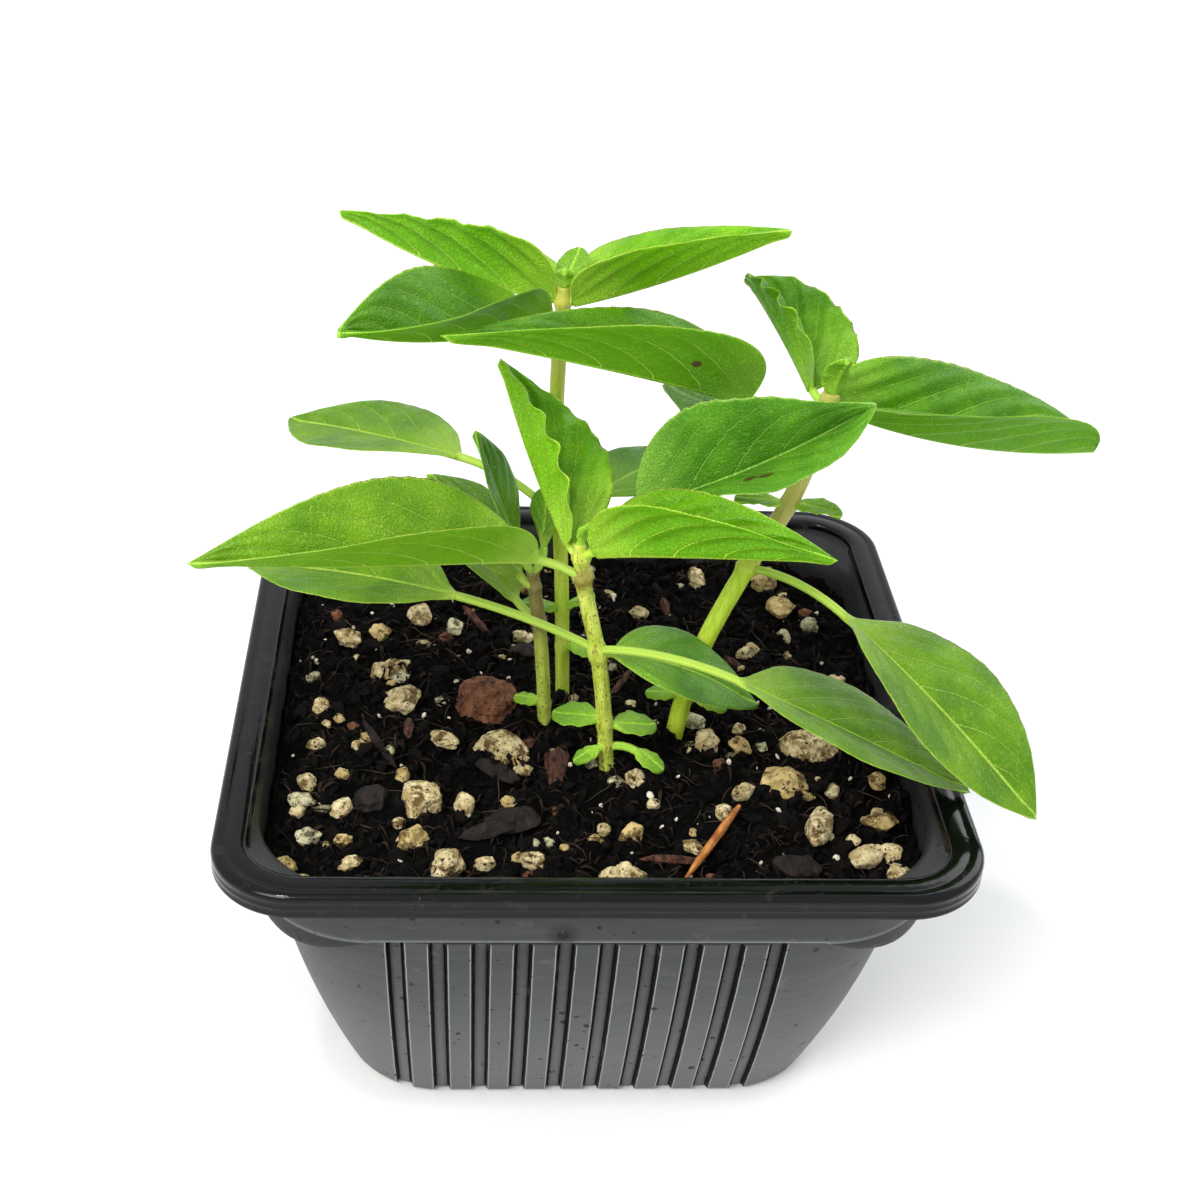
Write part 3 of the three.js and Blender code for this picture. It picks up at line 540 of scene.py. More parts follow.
def pot_shape():
    """The skin, closed below and inside by two drilled discs, and the drains' round walls. Its
    zones are the gloss, which also paints the rim near black as a painted dark reflection and the
    inside darker as painted shade, the share of the flutes' depth, and how far a hanging part of the
    collar lies below the collar's level. Its first map holds the place in flutes, and where the
    collar's edge gets a painted highlight and a painted shadow line."""
    grid = pot_grid(rows)
    count = grid.shape[1]
    last = (len(rows) - 1) * count
    total = len(rows) * count
    drained = DRAINS * DRAIN_SIDES
    under, low = drilled_disc(grid[0], 0.0, total)
    inner, high = drilled_disc(grid[-1], POT_FLOOR, total + drained)
    inner = np.where(inner < count, inner + last, inner)
    wells = []
    for k in range(DRAINS):
        a = total + k * DRAIN_SIDES + np.arange(DRAIN_SIDES)
        b = np.roll(a, -1)
        wells += [np.stack([a, a + drained, b], -1), np.stack([b, a + drained, b + drained], -1)]
    faces = [grid_faces(len(rows), count, True), under[:, ::-1], inner, *wells]
    points = np.concatenate([grid.reshape(-1, 3), low, high])
    ribbed, place = flute_places()
    hangs = np.where(rows[:, 3:4] > 0, COLLAR_LEVEL - grid[..., 2], -1.0)
    plain = 1 - smooth(hangs[COLLAR_ROW + 1], 0.1, 0.6)
    zones = np.zeros((len(points), 3))
    zones[:total, 0] = np.repeat(GLOSS_AND_PAINTED_DARK, count)
    zones[:total, 1] = (rows[:, 4:] * ribbed).ravel()
    zones[:total, 2] = hangs.ravel()
    maps = np.zeros((len(points), 4))
    maps[:total, 0] = np.tile(place, len(rows))
    maps[:total, 1] = np.outer(EDGE, plain).ravel()
    return Shape(points, np.concatenate(faces), maps=maps, zones=zones).outward()


print(pot_grid(rows).shape[1], "columns round the pot")

# %% [markdown]
# ### Black plastic
# The rim and the wall are one black plastic, painted in two copies for what each reflects. The
# rim is polished by the press and glossy, with crisp lights along its round edges, and painted
# near black as a painted dark reflection. The wall is duller, with fine level scratches, and
# painted grey as a painted reflection of the pale floor, paler still towards its foot. The
# channels beside the ribs, the shadow line under the collar and the undersides of the shoulders
# are painted shade in black, and the ribs and the collar's lower edge have thin painted
# highlights. A small dimple in the collar is only painted shade. Crumbs of soil cling to it.


# %% Plastic finish
def plastic_finish():
    """Painted grey on the wall, a painted reflection of the pale floor, with level streaks; painted
    shade in the channels, under the collar and under the shoulders; painted highlights on the rib
    and collar edges; glossy and painted near black, a painted dark reflection, where the zones say
    polished."""
    f = Finish("black_plastic", Specular_IOR_Level=0.24)
    gloss_and_painted_dark, ribbed, hangs = f.zones()
    flute, edge = f.flat_map("veins")[:2]
    wobble = f.times(f.less(f.noise(1.8, 3), 0.5), 0.03)
    away = f.times(f.math("PINGPONG", f.math("ADD", flute, wobble), 0.5), FLUTE_PITCH)
    # Each flute's flanks, painted black below as painted shade.
    channel = f.times(f.fade(away, 0.74, 0.8), f.fade(away, 1.2, 1.26, 1, 0))
    # A thin painted highlight along the edge of each rib.
    rib_highlight = f.times(f.fade(away, 1.24, 1.3), f.fade(away, 1.38, 1.46, 1, 0))
    haze = f.fade(f.noise(9, 5, 0.6), 0.3, 0.7)
    streaks = f.fade(f.noise(1.6, 4, 0.6, f.stretched(0.12, 0.12, 1)), 0.45, 0.7)
    height = f.parts(f.object)[2]
    # The wall's grey is a painted reflection of the pale floor.
    base = f.mix(haze, colour("343637"), colour("3a3c3c"))
    base = f.mix(f.times(streaks, 0.3), base, colour("4a4c4c"))
    # Paler towards the foot: a painted reflection of the pale floor.
    base = f.mix(f.fade(height, 0.002, 0.04, 0.75, 0), base, colour("666867"))
    # A painted highlight just above the collar's lower edge, then painted shade under the hanging
    # shoulders.
    base = f.mix(f.fade(hangs, -0.7, -0.1, 0, 0.3), base, colour("8d9090"))
    base = f.mix(f.fade(hangs, -0.05, 0.15, 0, 0.88), base, colour("0a0b0b"))
    # The ribs' edges get a painted highlight.
    base = f.mix(f.times(rib_highlight, 0.8, ribbed), base, colour("909393"))
    # Painted shade in the channels beside the ribs.
    base = f.mix(f.times(ribbed, channel), base, colour("030303"))
    # The collar's lower edge: a painted highlight, with a painted shadow line below it.
    base = f.mix(f.fade(edge, 0.2, 0.9, 0, 0.6), base, colour("8d9090"))
    base = f.mix(f.fade(edge, -0.9, -0.3, 0.9, 0), base, colour("050505"))
    # A small dimple drawn only as painted shade: a darker ring round a black centre.
    dimple = f.node("ShaderNodeVectorMath", {0: f.object}, operation="DISTANCE")
    dimple.inputs[1].default_value = [c * MM for c in DIMPLE]
    dimple = dimple.outputs["Value"]
    base = f.mix(f.fade(dimple, 0.0009, 0.0028, 0.7, 0), base, colour("161718"))
    base = f.mix(f.fade(dimple, 0.0007, 0.001, 1, 0), base, colour("020202"))
    # The rim, and partly the inside, painted near black: painted dark reflection and painted shade.
    base = f.mix(gloss_and_painted_dark, base, colour("060607"))
    wide, narrow = f.fade(f.cells(3.1), 0.14, 0.18, 1, 0), f.fade(f.cells(1.7), 0.11, 0.15, 1, 0)
    specks = f.times(f.math("MAXIMUM", wide, narrow), f.fade(f.noise(5, 3), 0.5, 0.56))
    base = f.mix(f.times(specks, f.fade(gloss_and_painted_dark, 0, 1, 0.95, 0.2)), base, colour("0b0a09"))
    smears = f.fade(f.noise(4, 4, 0.7), 0.6, 0.7)
    base = f.mix(f.times(smears, f.fade(gloss_and_painted_dark, 0, 1, 0.12, 0.03)), base, colour("9a948a"))
    f.set("Base Color", base)
    rough = f.math("ADD", f.fade(gloss_and_painted_dark, 0, 1, 0.48, 0.09), f.times(haze, 0.05))
    f.set("Roughness", f.math("ADD", rough, f.times(smears, 0.14)))
    grain = f.bump(f.noise(0.35, 3), 0.012)
    waves = f.bump(f.noise(7, 2), 0.1, below=grain)
    f.set("Normal", f.bump(f.math("ADD", streaks, specks), 0.025, below=waves))
    return f


black_plastic = plastic_finish()
make_piece("pot_shell", pot_shape(), [black_plastic], "pot", sharp=50)

# %% [markdown]
# ## The soil
# Peat is a heap of crumbs and fibres rather than a surface. A fine grid gives the lie of the land,
# and loose crumbs, shreds, rootlets, white specks and grit are strewn over it, each kind as one
# piece of many small closed shapes.

# %% Lie of the land
SOIL_HALF, SOIL_CORNER, SOIL_LEVEL = 45.0, 15.2, 44.0
SOIL_STEPS = 250
SKIRT_TOP, SKIRT_GAP = 41.5, 0.35
SKIRT_LEVELS = (SKIRT_TOP, 40.8, 30, 15, 1.75)
CRUMB_WAVES = ((2.2, 0.55, 2), (1.1, 0.4, 3), (0.6, 0.22, 4))  # size, amount, seed


def soil_height(x, y):
    """The level of the soil, with waves sin(0.37x + 1.3)cos(0.41y - 0.4) + 0.6 sin(0.83x - 0.67y)
    of 0.7 mm, and a mound of 0.8 exp(-(x^2 + y^2) / 900) under the stems."""
    waves = np.sin(0.37 * x + 1.3) * np.cos(0.41 * y - 0.4) + 0.6 * np.sin(0.83 * x - 0.67 * y)
    return SOIL_LEVEL + 0.7 * waves + 0.8 * np.exp(-(x * x + y * y) / 900)


def ground(x, y):
    """The soil's height with its crumbs: a broad noise, and three finer ones folded to ridges as
    amount times (1 - 2|noise|). It starts 0.7 mm low, because the crumbs build it up again."""
    place = np.stack([x, y, np.zeros_like(x)], -1)
    height = soil_height(x, y) - 0.7 + 0.5 * lattice_noise(place, 4.5, 1)
    for size, amount, seed in CRUMB_WAVES:
        height = height + amount * (1 - 2 * np.abs(lattice_noise(place, size, seed)))
    return height


def square_reach(x, y, half, corner):
    """How far a square with round corners reaches in the direction of (x, y), as a share of what
    the plain square would: on a corner, the root of a t^2 + b t + c = 0, the line's crossing with
    the corner's circle."""
    top = np.maximum(np.maximum(np.abs(x), np.abs(y)), 1e-9)
    u, v = np.abs(x) / top, np.abs(y) / top
    flat = half - corner
    a, b, c = u * u + v * v, -2 * flat * (u + v), 2 * flat * flat - corner * corner
    far = (-b + np.sqrt(np.maximum(b * b - 4 * a * c, 0))) / (2 * a)
    on_arc = np.minimum(u, v) * half > flat
    return np.where(on_arc, far / half, 1.0)


def soil_shape():
    """A square grid drawn in at its corners, with a skirt that follows the pot's inside down to a
    flat foot. A grid point at (u, v) moves in by (1 - reach) times max(|u|, |v|)^6."""
    side = np.linspace(-1, 1, SOIL_STEPS)
    u, v = np.meshgrid(side, side)
    ratio = square_reach(u, v, SOIL_HALF, SOIL_CORNER)
    draw = 1 - (1 - ratio) * np.maximum(np.abs(u), np.abs(v)) ** 6
    x, y = u * SOIL_HALF * draw, v * SOIL_HALF * draw
    top = np.stack([x, y, ground(x, y)], -1).reshape(-1, 3)
    total = SOIL_STEPS**2
    index = np.arange(total).reshape(SOIL_STEPS, SOIL_STEPS)
    rim = np.concatenate([index[0, :-1], index[:-1, -1], index[-1, :0:-1], index[:0:-1, 0]])
    count = len(rim)
    edge = top[rim, :2]
    now = square_reach(edge[:, 0], edge[:, 1], SOIL_HALF, SOIL_CORNER)
    rings = []
    for z in SKIRT_LEVELS:
        half, corner = SOIL_HALF, SOIL_CORNER
        if z < SKIRT_TOP:
            half, corner = wall_half(z) - WALL - SKIRT_GAP, wall_corner(z) - WALL
        reach = square_reach(edge[:, 0], edge[:, 1], half, corner)
        ring = edge * (half / SOIL_HALF) * (reach / now)[:, None]
        rings.append(np.column_stack([ring, np.full(count, z)]))
    skirt = grid_faces(len(rings) + 1, count, True, first=total - count)
    skirt = np.where(skirt < total, rim[np.clip(skirt - total + count, 0, count - 1)], skirt)
    middle = total + len(rings) * count
    low = middle - count + np.arange(count)
    foot = np.stack([low, np.roll(low, -1), np.full(count, middle)], -1)
    faces = [grid_faces(SOIL_STEPS, SOIL_STEPS), skirt[:, ::-1], foot[:, ::-1]]
    return Shape(np.concatenate([top, *rings, [[0, 0, SKIRT_LEVELS[-1]]]]), np.concatenate(faces))


print("the soil is", round(float(soil_height(0, 0)), 1), "mm high in the middle")


# %% Peat finish
def peat_finish():
    """Nearly black, in two sizes of cloud, with a few pale fibres."""
    f = Finish("peat", Roughness=0.9, Specular_IOR_Level=0.08)
    coarse = f.fade(f.noise(3.5, 6, 0.7), 0.35, 0.7)
    fine = f.fade(f.noise(0.5, 4, 0.7), 0.4, 0.7)
    base = f.mix(coarse, colour("030303"), colour("0c0a09"))
    base = f.mix(fine, base, colour("060505"))
    fibres = f.fade(f.noise(0.4, 2, 0.6, f.stretched(1, 0.5, 1)), 0.72, 0.77)
    f.set("Base Color", f.mix(fibres, base, colour("3a3026")))
    f.set("Normal", f.bump(f.noise(0.45, 6, 0.75), 0.35))
    return f


peat = peat_finish()
make_piece("soil_heap", soil_shape(), [peat], "soil")

# %% [markdown]
# ### Stones, grit and crumbs
# A stone starts as a ball whose points are drawn in and out by the same rule as its solid. Planes
# shave it flat in places, as a break does, and noise roughens it. Pumice is a froth, so it also
# gets pits. The same function with fewer triangles makes the grit.


# %% Stone shapes
def unit_ball(level):
    """Points and triangles of a ball of even triangles: 20 at level 1, four times more at each
    level after."""
    ball = bmesh.new()
    bmesh.ops.create_icosphere(ball, subdivisions=level, radius=1)
    points = np.array([v.co for v in ball.verts])
    faces = np.array([[v.index for v in face.verts] for face in ball.faces])
    ball.free()
    return points, faces


BALLS = {level: unit_ball(level) for level in (1, 2, 3, 4, 6)}
PIT_WIDTHS = (0.9, 0.5)
ROUGH_SIZES = (0.5, 0.22, 0.1)  # as shares of a stone's least size


def stone(size, at, turn, seed, level, rough=0.06, pits=0.0, cuts=10, finish=0):
    """A ball with radius 1 + 0.11(sin(5.1x + seed)cos(4.3y - seed) + sin(6.7z + 2 seed)), shaved by
    planes at 0.74 to 0.98 of its size, which take off nine tenths of what is past them, then
    scaled to size, roughened by noise of three sizes, pitted, and turned by degrees."""
    ball, faces = BALLS[level]
    x, y, z = ball.T
    lumps = np.sin(5.1 * x + seed) * np.cos(4.3 * y - seed) + np.sin(6.7 * z + 2 * seed)
    points = ball * (1 + 0.11 * lumps)[:, None]
    chance = np.random.default_rng(int(10 * abs(seed)) + 5)
    for normal in chance.normal(size=(cuts, 3)):
        normal = normal / np.linalg.norm(normal)
        past = np.maximum(0, points @ normal - chance.uniform(0.74, 0.98))
        points = points - 0.9 * past[:, None] * normal
    points = points * np.array(size) / 2
    if level > 2:
        scale = min(size)
        for k, share in enumerate(ROUGH_SIZES):
            wobble = lattice_noise(points + 7 * seed, share * scale, k + 1)
            points = points + ball * (rough * share * scale * wobble)[:, None]
    if pits:
        for k, width in enumerate(PIT_WIDTHS):
            hole = smooth(lattice_noise(points + 3 * seed, width, 9 + k), 0.25, 0.7)
            points = points - ball * (pits * width * hole)[:, None]
    c, s = math.cos(math.radians(turn)), math.sin(math.radians(turn))
    spin = np.array([[c, -s, 0], [s, c, 0], [0, 0, 1]])
    return Shape(points @ spin.T + np.array(at), faces, finish).outward()


print("balls of", [len(faces) for _, faces in BALLS.values()], "triangles")

# %% [markdown]
# ### Stone, bark and wood colours
# Pumice is cream or ochre, stained by the peat, with pores of two sizes whose dark is painted
# shade in their holes. Lava and perlite are the same froth in other colours, so one function makes
# them all. Bark and split wood are fibres, which is noise drawn out along the piece.


# %% Stone finishes
def pumice_finish(name, light, dark, stain, amount):
    """Light and dark clouds, stained in an amount of places, with pores in two sizes painted dark as
    painted shade. The pores' pattern is pushed about by noise, so that none is round."""
    f = Finish(name, Roughness=0.92, Specular_IOR_Level=0.3)
    cloud = f.fade(f.noise(1.8, 5, 0.7), 0.38, 0.62)
    stains = f.fade(f.noise(2.6, 4, 0.7), 1 - amount, 1.12 - amount)
    base = f.mix(stains, f.mix(cloud, colour(light), colour(dark)), colour(stain))
    push = f.node("ShaderNodeTexNoise", {"Scale": 900.0, "Vector": f.object}).outputs[1]
    push = f.node("ShaderNodeVectorMath", {0: push, 1: (0.6 * MM,) * 3}, operation="MULTIPLY").outputs[0]
    warped = f.node("ShaderNodeVectorMath", {0: f.object, 1: push}, operation="ADD").outputs[0]
    small = f.fade(f.cells(0.42, vector=warped), 0.12, 0.34, 1, 0)
    wide = f.fade(f.cells(1.1, vector=warped), 0.1, 0.3, 1, 0)
    shaded_pores = f.times(f.math("MAXIMUM", small, wide), f.fade(f.noise(1.6, 2), 0.42, 0.55))
    # The pores' dark is painted shade in their holes.
    f.set("Base Color", f.mix(shaded_pores, base, colour("2a2016")))
    rough = f.bump(f.noise(0.3, 5, 0.7), 0.12)
    f.set("Normal", f.bump(f.less(1, shaded_pores), 0.2, below=rough))
    return f


def bark_finish(name, dark, light, size, along):
    """Fibres of a size in millimetres, drawn out where the shares in along are small."""
    f = Finish(name, Roughness=0.85, Specular_IOR_Level=0.3)
    fibres = f.fade(f.noise(size, 5, 0.65, f.stretched(*along)), 0.35, 0.65)
    f.set("Base Color", f.mix(fibres, colour(dark), colour(light)))
    f.set("Normal", f.bump(fibres, 0.2))
    return f


cream_pumice = pumice_finish("cream_pumice", "dccca0", "a08c5c", "67502c", 0.5)
ochre_pumice = pumice_finish("ochre_pumice", "ceb47c", "94804c", "5a4526", 0.5)
grey_pumice = pumice_finish("grey_pumice", "d0c8a4", "8d8a66", "57503a", 0.5)
lava = pumice_finish("lava", "7c5038", "563422", "2c1c14", 0.45)
bark = bark_finish("bark", "0c0908", "2a201c", 1.4, (1, 0.35, 1))
red_bark = bark_finish("red_bark", "20120e", "643c2c", 0.6, (1, 0.3, 1))
wood = bark_finish("split_wood", "8c4a1c", "d08a48", 0.8, (0.5, 0.18, 1))
perlite = pumice_finish("perlite", "ebe5d8", "d2c7ae", "a0937a", 0.35)
print("finishes for pumice, lava, bark, wood and perlite")

# %% Named stones
SUNK = 0.12  # how deep a stone lies, as a share of its height
# Each stone: place, size, turn in degrees, finish, depth of its pits.
STONES = (
    ("pumice_1", (-12.9, -10.6), (8.6, 6.6, 5), -10, cream_pumice, 0.32),
    ("pumice_2", (-24.3, -23), (7, 5.6, 5), 70, cream_pumice, 0.3),
    ("pumice_3", (-29.6, 10), (7, 4.6, 4), 0, cream_pumice, 0.25),
    ("pumice_4", (-20.4, -36.3), (6, 4.4, 4), 75, cream_pumice, 0.25),
    ("pumice_5", (3.4, -38.6), (7, 5.4, 4.6), -20, cream_pumice, 0.3),
    ("pumice_6", (28.1, -17.8), (9.4, 7, 6), -55, ochre_pumice, 0.35),
    ("pumice_7", (33, -8.6), (10.6, 6.2, 5), -15, cream_pumice, 0.3),
    ("lava_stone", (-15, 0.8), (10.4, 9.4, 6), 30, lava, 0.35),
    ("bark_chip", (26.8, -37), (7.2, 4.6, 3), -10, bark, 0.0),
    ("bark_flake", (-12, -27.3), (8, 5.4, 2.4), 15, bark, 0.0),
)
for k, (name, (x, y), size, turn, finish, pits) in enumerate(STONES):
    place = (x, y, float(soil_height(x, y)) - SUNK * size[2] + 0.2)
    shape = stone(size, place, turn, k + 1, 6, rough=0.13, pits=pits, cuts=14)
    make_piece(name + "_body", shape, [finish], name)

# %% Loose grit
# Each grain: place and size. More are strewn between them by chance.
GRIT = (
    (-39.8, -0.6, 3.8), (-21.1, -9.8, 3.8), (-40.3, -18.9, 2.8), (-40.6, -24.3, 3.4), (-35, -24.9, 3),
    (-18.1, -24.3, 3.6), (-39.2, -31.3, 3.4), (-33.2, -36, 2.8), (-15.3, -35.7, 3), (-8.9, -36.3, 3.2),
    (-26.4, -40.7, 2.6), (-27.6, 0.6, 5), (-25.2, -31.2, 4.6), (4.8, -30.9, 4.4), (6.3, -17.8, 3.8),
    (36.9, -34.6, 5), (40, -27.6, 4.4), (30.9, -29.5, 5.6), (41, -18.6, 4), (40.4, -39, 3.4),
    (-36.6, 17.2, 3.6), (-25.5, 23, 4.6), (-19.9, 20.8, 4), (32, 37.1, 4.6), (33.5, 28.3, 4.2),
    (37.8, 23.5, 3.6), (26.8, 17, 3.8), (20.7, 38.4, 4.4), (17.1, -10, 4.6), (21.4, -21.2, 3.6),
    (-8, 34, 3.6), (-24, 38, 4), (2, 40, 3.4), (-38, 36, 3.8),
    (22.2, -10.3, 3.2), (25.4, -10.3, 2.4), (18.2, -26.1, 2.4), (13, -33.3, 2.8), (-35.3, -17.7, 2.2),
    (-12.1, -23.3, 2.4), (-39.3, -40.1, 1.8), (-21.7, 1.1, 2.1), (0.9, -30.5, 2.4), (-34.5, -31.9, 2.2),
    (-41.9, -38.1, 3), (40.4, -34.4, 3.4), (-31.8, 20.2, 3), (10.1, 26.1, 2.6), (-0.1, -15, 2),
    (15.9, -3.9, 3.6),
)
STREWN_GRIT = 110


def grit_shape():
    """Each grain a stone of its own size, its finish chosen by chance."""
    chance = np.random.default_rng(11)
    grains = []
    for k, (x, y, size) in enumerate(GRIT):
        shape = np.array([size * 1.1, size, size * 0.8]) * chance.uniform(0.65, 1.25, 3)
        at = (x, y, float(soil_height(x, y)) + 0.1 + 0.14 * size)
        kind = int(chance.choice([0, 1, 2], p=[0.55, 0.2, 0.25]))
        grains.append(stone(shape, at, 57 * k, 0.7 * k + 2, 4, rough=0.14, pits=0.14, cuts=11, finish=kind))
    for x, y in chance.uniform(-42.5, 42.5, (STREWN_GRIT, 2)):
        size = chance.uniform(0.9, 2.5)
        at = (x, y, float(ground(x, y)) + 0.1)
        kind = int(chance.choice([0, 1, 2, 3], p=[0.45, 0.22, 0.25, 0.08]))
        grains.append(stone((size * 1.2, size, size * 0.8), at, 90 * x, x, 3, cuts=7, finish=kind))
    return join(grains)


make_piece("loose_grit", grit_shape(), [cream_pumice, ochre_pumice, grey_pumice, lava])

# %% [markdown]
# ### Crumbs, rootlets and specks
# Thousands of crumbs would be slow one by one, so each kind is one array: a small ball copied to
# every place at once, scaled, turned and dented by its own random numbers. Rootlets and shreds are
# arrays of thin tubes in the same way.


# %% Strewn shapes
def strewn(level, places, sizes, seed, dent=0.3):
    """A ball at each place, with its own length, breadth and height, turned at random and dented
    by up to dent of its radius."""
    ball, faces = BALLS[level]
    chance = np.random.default_rng(seed)
    count = len(places)
    turn = np.linalg.qr(chance.normal(size=(count, 3, 3)))[0]
    radius = 1 + dent * chance.uniform(-1, 1, (count, len(ball), 1))
    stretch = sizes[:, None, None] / 2 * chance.uniform(0.25, 1.6, (count, 1, 3))
    points = np.einsum("nij,nkj->nki", turn, ball[None] * radius * stretch) + places[:, None]
    shift = (np.arange(count) * len(ball))[:, None, None]
    turned = np.where(np.linalg.det(turn)[:, None, None] < 0, faces[None, :, ::-1], faces[None])
    return Shape(points, turned + shift)


def scattered(count, seed, lift=0.0):
    """Places on the ground inside the pot's wall, at random."""
    chance = np.random.default_rng(seed)
    x, y = chance.uniform(-1, 1, (2, count)) * (SOIL_HALF - 0.8)
    keep = np.maximum(np.abs(x), np.abs(y)) < (SOIL_HALF - 0.8) * square_reach(x, y, SOIL_HALF, SOIL_CORNER)
    x, y = x[keep], y[keep]
    return np.column_stack([x, y, ground(x, y) + lift])


def threads(starts, length, width, seed, steps=7):
    """Thin tubes with three sides that lie on the ground in lazy bends: the heading drifts by a
    random amount at each step. They are thickest in the middle, as sin of the way along."""
    chance = np.random.default_rng(seed)
    count = len(starts)
    heading = chance.uniform(0, 2 * np.pi, (count, 1)) + np.cumsum(chance.normal(0, 0.2, (count, steps)), 1)
    stride = (length * chance.uniform(0.4, 1.3, (count, 1)) / steps)[..., None]
    step = np.stack([np.cos(heading), np.sin(heading)], -1) * stride
    flat = np.clip(starts[:, None, :2] + np.cumsum(step, 1), 1 - SOIL_HALF, SOIL_HALF - 1)
    level = ground(flat[..., 0], flat[..., 1])
    arch = np.sin(np.linspace(0, np.pi, steps)) * chance.uniform(0, 1.4, (count, 1))
    line = np.dstack([flat, np.maximum(level, level.mean(1, keepdims=True)) + arch])
    side = np.stack([-np.sin(heading), np.cos(heading), np.zeros_like(heading)], -1)
    up = np.array([0, 0, 1.0])
    taper = np.sin(np.linspace(0.35, np.pi - 0.35, steps))[None, :, None]
    thick = (width * chance.uniform(0.5, 1.2, (count, 1)))[..., None] * taper / 2
    corners = [line + thick * (math.cos(a) * side + math.sin(a) * up) for a in (0.5, 2.6, 4.7)]
    last = 3 * (steps - 1)
    ends = [[2, 1, 0], [last, last + 1, last + 2]]
    one = np.concatenate([grid_faces(steps, 3, True), ends])
    shift = (np.arange(count) * 3 * steps)[:, None, None]
    return Shape(np.stack(corners, 2), one[None, :, ::-1] + shift)


def strewn_finish(name, low, high, size, roughness=0.95):
    """Dull, between two colours, in clouds of a size in millimetres."""
    f = Finish(name, Roughness=roughness, Specular_IOR_Level=0.12)
    share = f.fade(f.noise(size, 3, 0.6), 0.35, 0.65)
    f.set("Base Color", f.mix(share, colour(low), colour(high)))
    f.set("Normal", f.bump(f.noise(0.3, 4, 0.7), 0.15))
    return f


crumb_finish = strewn_finish("crumbs", "040303", "120e0c", 3.0)
shred_finish = strewn_finish("shreds", "070505", "32261e", 5.0)
rootlet_finish = strewn_finish("rootlets", "1a1411", "4e4034", 6.0, 0.8)
chance = np.random.default_rng(21)
large = scattered(1500, 1, 0.1)
small = scattered(3400, 2, 0.15)
crumbs = join([
    strewn(2, large, chance.uniform(0.8, 2.1, len(large)), 3, 0.55),
    strewn(1, small, chance.uniform(0.3, 1.0, len(small)), 4, 0.5),
])
make_piece("soil_crumbs", crumbs, [crumb_finish])
make_piece("rootlets", threads(scattered(420, 5), 8.0, 0.2, 6), [rootlet_finish])

# %% [markdown]
# Peat also holds shreds of what it grew from, and here and there a bit of bark. The few that stand
# out are placed by name of their size and turn, and the small ones are strewn.

# %% Shreds and bark bits
# Each bit: place, length, breadth, thickness, turn in degrees, and 1 for dark bark or 2 for red.
BITS = (
    (-13.8, -16.2, 9.0, 3.2, 1.6, -44, 1), (-15.0, -30.6, 7.5, 3.2, 1.4, 23, 1),
    (-31.3, -22.2, 5.6, 4.6, 2.4, 60, 1), (-8.1, 15.0, 6.5, 4.0, 2.0, 10, 1),
    (-5.0, -14.6, 9.6, 3.8, 2.6, 86, 2), (-26.4, -7.2, 4.6, 1.5, 1.4, 95, 2),
    (-16.4, 24.0, 10.0, 1.3, 1.2, -63, 2), (14.6, 29.5, 6.0, 1.4, 1.4, 92, 2),
    (5.8, 5.6, 8.0, 1.2, 1.2, 61, 2), (24.0, 13.0, 5.6, 1.4, 1.2, -55, 2),
    (-30.6, -10.1, 12.6, 1.2, 1.2, -66, 1), (9.9, -36.8, 9.0, 1.5, 1.2, -3, 2),
)


def bit_shapes():
    """The named bits, and thin short shreds that lie among the crumbs."""
    bits = []
    for k, (x, y, *size, turn, kind) in enumerate(BITS):
        at = (x, y, float(soil_height(x, y)) + 0.3)
        bits.append(stone(size, at, turn, 0.9 * k + 3, 4, rough=0.2, cuts=10, finish=kind))
    return join([threads(scattered(1100, 9), 3.4, 0.6, 10, steps=4), *bits])


make_piece("soil_shreds", bit_shapes(), [shred_finish, bark, red_bark])
places = scattered(130, 7, 0.35)
specks = strewn(2, places, chance.uniform(0.3, 0.9, len(places)), 8)
make_piece("perlite_specks", specks, [perlite])

# %% [markdown]
# ## Stems
# A basil stem is nearly square, with a shallow groove down each face, and it thickens where a pair
# of leaves springs. A profile is carried along a smooth curve through the places where the leaves
# spring. Fine hairs stand on it.

# %% Stem lines
# Each stem: thickness, and the places on its line.
STEMS = {
    "a": (2.1, ((3.1, -15.1, 44.5), (-0.2, -15.1, 65.2), (-2.7, -15.1, 76.5), (-3.4, -15.1, 82))),
    "b": (1.9, ((-5.8, -3.9, 44.5), (-7.5, -4.2, 59.5), (-9, -4.5, 71))),
    "c": (2.0, ((-3, 3.2, 44.5), (-4.3, 3.2, 63.3), (-6.3, 3.2, 94.2), (-6, 3.2, 111))),
    "d": (2.6, ((11.5, -6.9, 44.5), (15.9, -4.5, 58), (21.5, -2.4, 70.5), (27.2, -0.6, 81.1),
                (29.8, 0.7, 88.4), (31.7, 2.1, 96.7))),
}
ROOT_LEVEL = 35.0
STEM_ROWS, STEM_SIDES = 220, 28


def on_stem(name, height):
    """The point of a stem's line at a height, straight between its neighbours."""
    line = np.array(STEMS[name][1])
    return np.array([np.interp(height, line[:, 2], line[:, k]) for k in range(3)])


